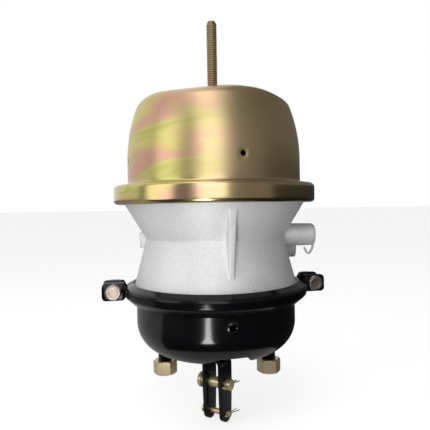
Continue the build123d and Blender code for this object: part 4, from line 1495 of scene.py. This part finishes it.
# %% Cup outlines
cup_radius, cup_wall, cup_corner = 90.9, 3.2, 35.0
cup_hole = 19.0
stud_spacing, stud_pad = 120.65, 16.5
vent_place, vent_height_cup, cup_vent = radians(10.5), 44.0, 3.2
channel_height = 10.9
channel_left, channel_floor_left, channel_floor_right, channel_right = -17.0, 2.0, 31.0, 36.5
channel_start, channel_full = 31.0, 44.0
fold = 0.9
cup_flare = height_at(seat[0], seat[1], cup_radius)
flange_under = height_at(seat[0], seat[1], clamp_flange_radius)
inside_radius, inside_flare = cup_radius - cup_wall, cup_flare + cup_wall
cup_mouth = inside_radius + (cup_flange_height - inside_flare) * (
    clamp_flange_radius - cup_radius
) / (flange_under - inside_flare + cup_wall)
skin_apart, inner_apart, cup_columns = 1.2, 2.0, 360
cup_outside = open_outline(
    [
        (cup_hole, 0), (cup_radius, 0, cup_corner), (cup_radius, cup_flare, 3.0),
        (clamp_flange_radius, flange_under, 0.6), (clamp_flange_radius, cup_flange_height),
        (cup_mouth, cup_flange_height),
    ],
    skin_apart, radians(2),
)
cup_inside = open_outline(
    [
        (cup_mouth, cup_flange_height), (inside_radius, inside_flare, 3.0),
        (inside_radius, cup_wall, cup_corner - cup_wall), (cup_hole, cup_wall), (cup_hole, 0),
    ],
    inner_apart, radians(3),
)
cup_rings = spun_rings(cup_outside + cup_inside, cup_columns)
print("cup rows and columns", cup_rings.shape[:2])

# %% [markdown]
# The press raised a channel under the cup's front right, with one long slope and one steep one, and
# left two round pads flat for the studs. The channel is the lowest of four planes, joined softly,
# and the floor is the higher of itself and the channel. Drain holes are punched last.

# %% Pressed floor and drain holes
stud_bore, bore_low, bore_high = 8.6, -3, 6
drain_inner, drain_outer = 80.0, 96.0
drain_lip, lip_width = 0.7, 1.1
drain_turns = (vent_place, vent_place + pi)


def eased(share):
    """Smooth step from 0 to 1."""
    share = np.clip(share, 0, 1)
    return share * share * (3 - 2 * share)


def soft_max(first, second, softness):
    """The larger of two surfaces, with a round join."""
    return softness * np.logaddexp(first / softness, second / softness)


def pressed_floor(rings, base):
    """Raises the channel and flattens the stud pads of one skin; base is the skin's own height."""
    x, y, z = rings[..., 0], rings[..., 1], rings[..., 2] - base
    channel = channel_height * (x - channel_left) / (channel_floor_left - channel_left)
    for slope in (
        (channel_right - x) / (channel_right - channel_floor_right),
        (-y - channel_start) / (channel_full - channel_start),
        np.ones_like(x),
    ):
        channel = -soft_max(-channel, -channel_height * slope, fold)
    height = np.where(z < 2 * channel_height, soft_max(z, channel, fold * 0.7), z)
    pad = stud_pad if base == 0 else stud_pad - cup_wall
    for side in (-1, 1):
        away = np.hypot(x - side * stud_spacing / 2, y)
        height = height * (1 - eased((pad + 1.0 - away) / 2.0))
    return np.stack([x, y, height + base], axis=2)


def raised_vents(rings):
    """A low ring round each drain hole, where the punch drew the sheet outwards."""
    for turn in drain_turns:
        centre = outward_at(turn) * cup_radius + (0, 0, vent_height_cup)
        away = np.linalg.norm(rings - centre, axis=2)
        lift = drain_lip * np.exp(-(((away - cup_vent - 0.9) / lip_width) ** 2))
        rings = rings + lift[..., None] * outward_at(turn)
    return rings


outer_skin = raised_vents(pressed_floor(cup_rings[:len(cup_outside)], 0.0))
inner_skin = pressed_floor(cup_rings[len(cup_outside):-1], cup_wall)
cup_mesh = mesh_of_rings("cup", np.concatenate([outer_skin, inner_skin, cup_rings[-1:]]))
cup_holes = radial_cutters(cup_vent, vent_height_cup, drain_turns, drain_inner, drain_outer)
for side in (-1, 1):
    x = side * stud_spacing / 2
    cup_holes.append(rod_mesh("bore", stud_bore, (x, 0, bore_low), (x, 0, bore_high)))
finished("service_housing", cut_mesh(cup_mesh, cup_holes))

# %% [markdown]
# ## The clamp band
# Each half is a V channel over half a turn, rolled from strip, so its section is an outline with an
# even wall. It is spun through its half turn only, less the gap at the split.

# %% Band halves
ear_turn = 9.6
band_split = 6.0
ear_end, ear_bolt, ear_bolt_height = 128.8, 116.0, 70.8
ear_low, ear_high, ear_corner = 60.9, 80.5, 4.6
ear_face, ear_thickness = 13.0, 5.0
ear_bend, ear_start = 5.0, radians(15)


def band_half(side):
    """Half of the V channel; side -1 is the near half."""
    inner = inset_chain(band_outside, band_wall)
    outline = rounded(
        [
            (*band_outside[0], 0.7), (*band_outside[1], 5.0), (*band_outside[2], 4.4),
            (*band_outside[3], 0.7), (*inner[3], 0.7), inner[2], inner[1], (*inner[0], 0.7),
        ],
        arc_step=radians(6),
    )
    section = finer(outline, 2.5)
    middle = radians(ear_turn) + (0 if side < 0 else pi)
    reach = quarter - asin(band_split / 2 / band_radius)
    rings = spun_rings(section, 200, middle - reach, middle + reach)
    return mesh_of_rings("band", rings, whole_turn=False)


print("band half", len(band_half(-1).polygons), "faces")

# %% [markdown]
# At both ends a strap leaves the band, bends outwards and carries a bolt hole. It widens as it leaves
# and its far corners are round, so the strap's reach is worked out at each point of its path.

# %% Ears
bolt_radius = 5.55
ear_root_low, ear_root_high, ear_grows_over = 66.5, 73.0, 3.0
ear_hole_slack, hole_near, hole_far = 0.4, 4, 20


def ear_path():
    """Middle line of the strap: along the band, round the bend and straight out."""
    line = ear_face - ear_thickness / 2
    on_band = band_radius - 1.0
    centre = (sqrt((on_band + ear_bend) ** 2 - (line + ear_bend) ** 2), line + ear_bend)
    leave = atan2(centre[1], centre[0])
    path = [(on_band * cos(t), on_band * sin(t)) for t in np.linspace(ear_start, leave, 8)]
    for turn in np.linspace(pi + leave, 1.5 * pi, 12)[1:]:
        path.append((centre[0] + ear_bend * cos(turn), centre[1] + ear_bend * sin(turn)))
    return path + [(x, line) for x in np.linspace(centre[0], ear_end, 24)[1:]]


def ear_width(x, y):
    """Low and high edge of the strap at a point of its path."""
    grown = eased((hypot(x, y) - band_radius + 1.0) / ear_grows_over)
    into = max(0.0, x - (ear_end - ear_corner))
    cut = ear_corner - sqrt(max(0.0, ear_corner**2 - into**2))
    low = ear_root_low + (ear_low - ear_root_low) * grown
    high = ear_root_high + (ear_high - ear_root_high) * grown
    return low + cut, high - cut


def ear(end, side):
    """Bent strap with its bolt hole, at the +X or -X end of one half."""
    path = ear_path()
    line = [(end * x, side * y) for x, y in path]
    blank = strap("ear", line, [ear_width(*point) for point in path], ear_thickness, "XY")
    near, far = ((end * ear_bolt, side * y, ear_bolt_height) for y in (hole_near, hole_far))
    hole = rod_mesh("hole", bolt_radius + ear_hole_slack, near, far)
    return cut_mesh(bevelled(blank, 0.7, 2, 40), [hole])


for node, side in (("clamp_band_front", -1), ("clamp_band_rear", 1)):
    ears = [placed(ear(end, side), turned_about_z(ear_turn)) for end in (-1, 1)]
    finished(node, joined(node, [band_half(side), *ears]))

# %% [markdown]
# A flanged bolt draws each pair of ears together. Its head is dished in the middle by the cold
# heading, so the dish is a turned outline, and its thread is a ridge wound round the shank.

# %% Clamp bolts and nuts
head_radius, head_height, head_rim = 8.75, 6.5, 4.9
bolt_tail, bolt_pitch, bolt_ridge, bolt_plain = 25.5, 1.6, 0.45, 4.0
nut_height, nut_flats = 9.5, 17.5
bolt_length, bolt_core = ear_face + bolt_tail, bolt_radius - bolt_ridge
dish = [
    (0, 0), (0, head_height - 0.2), (4.4, head_height - 0.2, 0.6), (5.2, head_height, 0.5),
    (7.4, head_height, 0.9), (head_radius, head_rim, 0.8), (head_radius, 0.6, 0.4), (8.2, 0),
]
shank = [(0, 0), (bolt_core, 0), (bolt_core, bolt_length, 0.8), (0, bolt_length)]
bolt_thread = threaded(
    "clamp_thread", bolt_core, bolt_radius, ear_face + bolt_plain, bolt_length - 0.5, bolt_pitch,
    bolt_zinc,
)


def paired(name, mesh):
    """A bolt or nut at both ends of the clamp."""
    both = repeated(name, mesh, 2 * ear_bolt, bolt_zinc)
    finished(name, placed(both, turned_about_z(ear_turn)))


on_near_ear = moved_to(0, -ear_face, ear_bolt_height)
one_bolt = [
    placed(turned("head", dish, 64), on_near_ear @ to_near_side),
    placed(turned("shank", shank, 40), on_near_ear @ to_far_side),
    placed(bolt_thread, on_near_ear @ to_far_side),
]
paired("clamp_bolts", joined("bolt", one_bolt))
on_far_ear = moved_to(0, ear_face, ear_bolt_height) @ to_far_side
paired("clamp_nuts", placed(hex_nut("nut", nut_flats, nut_height, bolt_radius), on_far_ear))

# %% [markdown]
# ## The studs
# Two studs pass through the cup's floor and carry the whole chamber. Each has a plate inside the cup
# and a neck that fills its hole, and its nut is screwed up under the bracket's place.

# %% Mounting studs and their nuts
stud_radius, stud_shank, stud_nut_height, stud_nut_flats = 7.94, 14.4, 15.5, 23.8
stud_core, thread_core, stud_pitch = 7.4, 7.35, 1.42
stud_plate, stud_plate_height, nut_bore = 12.5, 5.0, 7.6
stud_end = stud_shank + stud_nut_height
plate_top = cup_wall + stud_plate_height
stud_body = turned(
    "stud",
    [
        (0, -stud_end), (6.2, -stud_end), (stud_core, -stud_end + 1.4), (stud_core, -3.0),
        (stud_bore, -1.2, 0.5), (stud_bore, cup_wall), (stud_plate, cup_wall),
        (stud_plate, plate_top, 1.5), (0, plate_top),
    ],
    around=64,
)
stud_ridge = threaded(
    "stud_thread", thread_core, stud_radius, -stud_end + 0.8, -3.2, stud_pitch, forged_black
)
one_stud = joined("stud", [stud_body, stud_ridge])
finished("mounting_studs", repeated("mounting_studs", one_stud, stud_spacing, forged_black))
stud_nut = hex_nut("nut", stud_nut_flats, stud_nut_height, nut_bore)
stud_nut = placed(stud_nut, moved_to(0, 0, -stud_end))
finished("stud_nuts", repeated("stud_nuts", stud_nut, stud_spacing, fastener_zinc))

# %% [markdown]
# ## The release bolt
# This long bolt cages the power spring: its flat tee hooks under the spring plate inside, and its nut
# is turned down on the dome. The bar is round with a coarse thread, and the tee is a short strap.

# %% Release bolt
bolt_top, crown = 379.2, 287.5
tee_top, tee_height, tee_half, tee_reach = 258.5, 6.5, 5.25, 12
release_radius, release_core, release_pitch, thread_foot = 6.2, 5.2, 2.54, 268.0
tee_low, tee_middle = tee_top - tee_height, tee_top - tee_height / 2
release_body = turned(
    "release_bolt",
    [
        (0, tee_low), (release_core, tee_low), (release_core, bolt_top - 4.2),
        (release_core, bolt_top, 2.8), (0, bolt_top),
    ],
    around=48,
)
release_thread = threaded(
    "release_thread", release_core, release_radius, thread_foot, bolt_top - 2.2, release_pitch,
    thread_zinc,
)
tee_line = [(-tee_half, tee_middle), (tee_half, tee_middle)]
tee = bevelled(strap("tee", tee_line, [(-tee_reach, tee_reach)] * 2, tee_height), 1.0, 3)
release_bolt = joined("caging_bolt", [release_body, release_thread, tee])
finished("caging_bolt", release_bolt, "spring_piston")

# %% [markdown]
# The nut bears on a plain washer that covers the hole in the crown. A washer is stamped, so its
# outline has only four corners, two of them a little round. The nut comes from the nut maker.

# %% Release nut and washer
washer_bore, washer_radius, washer_height = 7.0, 17.0, 2.0
release_nut_height, release_nut_flats = 10.0, 22.2
washer_top = crown + washer_height
washer = turned(
    "caging_washer",
    [
        (washer_bore, crown), (washer_radius, crown, 0.5), (washer_radius, washer_top, 0.5),
        (washer_bore, washer_top),
    ],
    around=96,
)
finished("caging_washer", washer)
release_nut = hex_nut("nut", release_nut_flats, release_nut_height, release_radius + 0.1)
finished("caging_nut", placed(release_nut, moved_to(0, 0, washer_top)), "release_nut")

# %% [markdown]
# ## The dust plug
# The spring port isn't used when the chamber is stored, so a soft plug keeps dust out of it. A moulded
# tab hangs from its edge for the fingers: a short strap along a bent line.

# %% Dust plug
plug_end, plug_height = upper_port[0], upper_port[2]
plug_face, plug_flange, plug_gap, plug_sink = 11.5, 2.4, 0.05, 0.7
tab_top, tab_half, tab_thick = plug_height - boss_radius - 0.8, 2.0, 2.0
plug_floor = plug_flange - plug_sink
plug_turned = turned(
    "plug",
    [
        (0, -11.0), (6.6, -11.0, 0.8), (7.2, -1.0), (7.2, plug_gap), (plug_face, plug_gap, 0.4),
        (plug_face, plug_flange, 1.5), (5.0, plug_flange, 0.8), (4.2, plug_floor, 0.4),
        (0, plug_floor),
    ],
    around=72,
)
plug_turned = placed(plug_turned, moved_to(plug_end, 0, plug_height) @ to_x_axis)
tab_corners = [
    (plug_end + 1.1, tab_top + 4.0), (plug_end + 0.6, tab_top - 2.0, 3.0),
    (plug_end - 4.4, tab_top - 11.2, 2.4), (plug_end - 9.2, tab_top - 1.4),
]
bent_tab = rounded(tab_corners, closed=False, arc_step=radians(12))
tab_path = finer(bent_tab, 1.5, closed=False)
tab = strap("tab", tab_path, [(-tab_half, tab_half)] * len(tab_path), tab_thick)
finished("port_plug", joined("port_plug", [plug_turned, bevelled(tab, 0.5, 2)]))

# %% [markdown]
# ## The yoke and its pins
# The yoke is one flat bar bent into a U, narrower towards its tips. It is a strap whose width
# follows the height, and the bolt holes are cut after its edges are rounded.

# %% Clevis yoke
yoke_turn = -32.0
yoke_gap, yoke_bar, yoke_top = 15.9, 5.3, -7.75
yoke_half = yoke_gap / 2 + yoke_bar
yoke_bend = yoke_top - yoke_half
yoke_width, tip_width = 22.5, 19.0
large_pin_height, small_pin_height = -42.0, -75.7
large_pin_radius, small_pin_radius = 6.35, 3.175
spigot_radius, hole_reach, hole_slack = 6.0, 20, 0.1


def yoke_path():
    """Middle line of the bar from one tip over the bend to the other."""
    middle = (yoke_gap + yoke_bar) / 2
    tip = small_pin_height - tip_width / 2 + 0.12
    leg = [(-middle, z) for z in np.concatenate([
        small_pin_height - tip_width / 2 * np.cos(np.linspace(0.12, pi / 2, 12, endpoint=False)),
        np.linspace(small_pin_height, yoke_bend, 28, endpoint=False),
    ])]
    leg[0] = (-middle, tip)
    bend = [(-middle * cos(t), yoke_bend + middle * sin(t)) for t in np.linspace(0, pi, 33)]
    return leg + bend + [(-x, z) for x, z in leg[::-1]]


def yoke_half_width(z):
    """Half width of the bar at a height."""
    if z < small_pin_height:
        return sqrt(max(0.3, (tip_width / 2) ** 2 - (small_pin_height - z) ** 2))
    share = np.clip((large_pin_height - z) / (large_pin_height - small_pin_height), 0, 1)
    return (yoke_width + (tip_width - yoke_width) * share) / 2


path = yoke_path()
bar_widths = [(-yoke_half_width(z), yoke_half_width(z)) for _, z in path]
bar = strap("yoke", path, bar_widths, yoke_bar)
yoke_holes = [
    rod_mesh("hole", radius + hole_slack, (-hole_reach, 0, height), (hole_reach, 0, height), 48)
    for radius, height in ((large_pin_radius, large_pin_height), (small_pin_radius, small_pin_height))
]
yoke_holes.append(rod_mesh("hole", spigot_radius, (0, 0, yoke_bend + 2), (0, 0, yoke_top + 3), 48))
yoke = cut_mesh(bevelled(bar, 0.9, 3, 40), yoke_holes)
finished("clevis_yoke", placed(yoke, turned_about_z(yoke_turn)), "rod")

# %% [markdown]
# Both pins lie across the yoke, each held by a split pin whose legs are spread. A split pin is
# half-round wire: an eye at one side, two legs through the hole, and the free ends bent apart.

# %% Pins and split pins
def headed_pin(radius, length, head_radius, head_height, slack, height, cotter_radius, cotter_x):
    """Pin along the yoke's cross axis with its head on the left and a hole for the split pin."""
    pin = turned(
        "pin",
        [
            (0, -head_height), (head_radius, -head_height, 0.35 * head_height),
            (head_radius, 0, 0.3), (radius, 0), (radius, length, 0.15 * radius + 0.4), (0, length),
        ],
        around=56,
    )
    pin = placed(pin, moved_to(-yoke_half - slack, 0, height) @ to_x_axis)
    near, far = ((cotter_x, 3 * side * radius, height) for side in (-1, 1))
    hole = rod_mesh("hole", cotter_radius + hole_slack, near, far, 20)
    return placed(cut_mesh(pin, [hole]), turned_about_z(yoke_turn))


def split_pin(radius, x, height, wire_radius, tail):
    """Half-round wire bent into an eye, pushed through the pin and spread on the far side."""
    end, eye, half = radius + wire_radius, 1.8 * wire_radius, 0.5 * wire_radius
    leg = tail - end
    legs = []
    for side, lean in ((1, radians(22)), (-1, radians(2))):
        spread_end = [
            (x + side * half + sin(lean) * leg * share, end - 0.8 * wire_radius + cos(lean) * leg * share)
            for share in (1.0, 0.75, 0.5, 0.25, 0.08)
        ]
        through = np.linspace(end - 0.9 * wire_radius, -end, 7)
        legs.append(spread_end + [(x + side * half, y) for y in through])
    loop = [
        (x + eye * sin(turn), -end - 0.9 * eye + eye * cos(turn))
        for turn in np.linspace(radians(20), radians(340), 17)
    ]
    points = [(across, y, height) for across, y in legs[0] + loop + legs[1][::-1]]
    return placed(wire("cotter", points, 0.52 * wire_radius, 10), turned_about_z(yoke_turn))


cotter_tail = 17.0
pins = {  # body, radius, length, head radius and height, slack, height, cotter radius and place
    "clevis": ("large_pin", large_pin_radius, 38.1, 9.0, 4.8, 5.0, large_pin_height, 1.5, 16.95),
    "link": ("small_pin", small_pin_radius, 34.9, 4.8, 2.6, 4.0, small_pin_height, 1.1, 15.65),
}
for name, (body, radius, *sizes) in pins.items():
    finished(name + "_pin", headed_pin(radius, *sizes), body)
    height, wire_radius, cotter_x = sizes[-3:]
    cotter = split_pin(radius, cotter_x, height, wire_radius, cotter_tail)
    finished(name + "_cotter", cotter, body)

# %% [markdown]
# ## The springs
# Three springs stretch and shorten as the chamber works, and a rigid coil would poke through its
# plate as the plate moves. Here each coil is wound between its two ends and stays as it was made.

# %% Springs
def stretching(name, mesh, moving, fixed_height, moving_height):
    """A soft or springy piece between the housing and a moving body; the moving body and the heights, in
    millimetres, are not used.
    """
    item = painted(name, name, mesh)
    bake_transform(item)


springs = {  # low and high end, radii there, wire radius, turns, sides, moving body, fixed end
    "power_spring": ((237.8, 284.5), (76.0, 48.0), 6.0, 3.5, 16, "spring_piston", 1),
    "adapter_spring": ((125.0, 227.7), (30.0, 30.0), 1.6, 3.0, 12, "spring_piston", 0),
    "return_spring": ((6.2, 93.4), (25.0, 44.0), 2.2, 3.5, 12, "service_plate", 0),
}
for name, (ends, radii, wire_radius, turns, sides, body, fixed) in springs.items():
    coil = wound(name, *ends, *radii, wire_radius, turns, node_finish[name], sides)
    stretching(name, coil, body, ends[fixed], ends[1 - fixed])

# %% [markdown]
# A diaphragm is a moulded rubber dish. Its square bead is clamped at the edge and its skirt rolls as
# the plate moves; here it stays as it was moulded, as the springs do.

# %% Diaphragms
rubber = 3.0


def dished(name, bead_radius, bead_low, bead_high, skirt_radius, dish_radius, dish_height):
    """Moulded rubber dish with a square bead at its edge."""
    under = dish_height - rubber
    return turned(
        name,
        [
            (bead_radius, bead_low), (bead_radius, bead_high), (skirt_radius, bead_high, 1.5),
            (dish_radius, dish_height, 5.0), (0, dish_height), (0, under),
            (dish_radius - rubber, under, 3.0), (skirt_radius - rubber, bead_low, 1.5),
        ],
        around=160,
    )


diaphragms = {  # bead radius, its low and high face, skirt radius, dish radius and height
    "spring_diaphragm": ("spring_piston", (110.9, 179.2, 184.4, 93.6, 74.0, 234.0)),
    "service_diaphragm": ("service_plate", (100.0, 67.15, 69.85, 84.5, 71.0, 100.7)),
}
for name, (body, sizes) in diaphragms.items():
    stretching(name, dished(name, *sizes), body, sizes[1], sizes[-1])

# %% [markdown]
# ## The size note and the end
# The dressed part is measured as the solids were at the start, and both boxes are kept.

# %% Finish
size_note["scene"] = bounds_as_lists()
print("box of the dressed part", size_note["scene"])
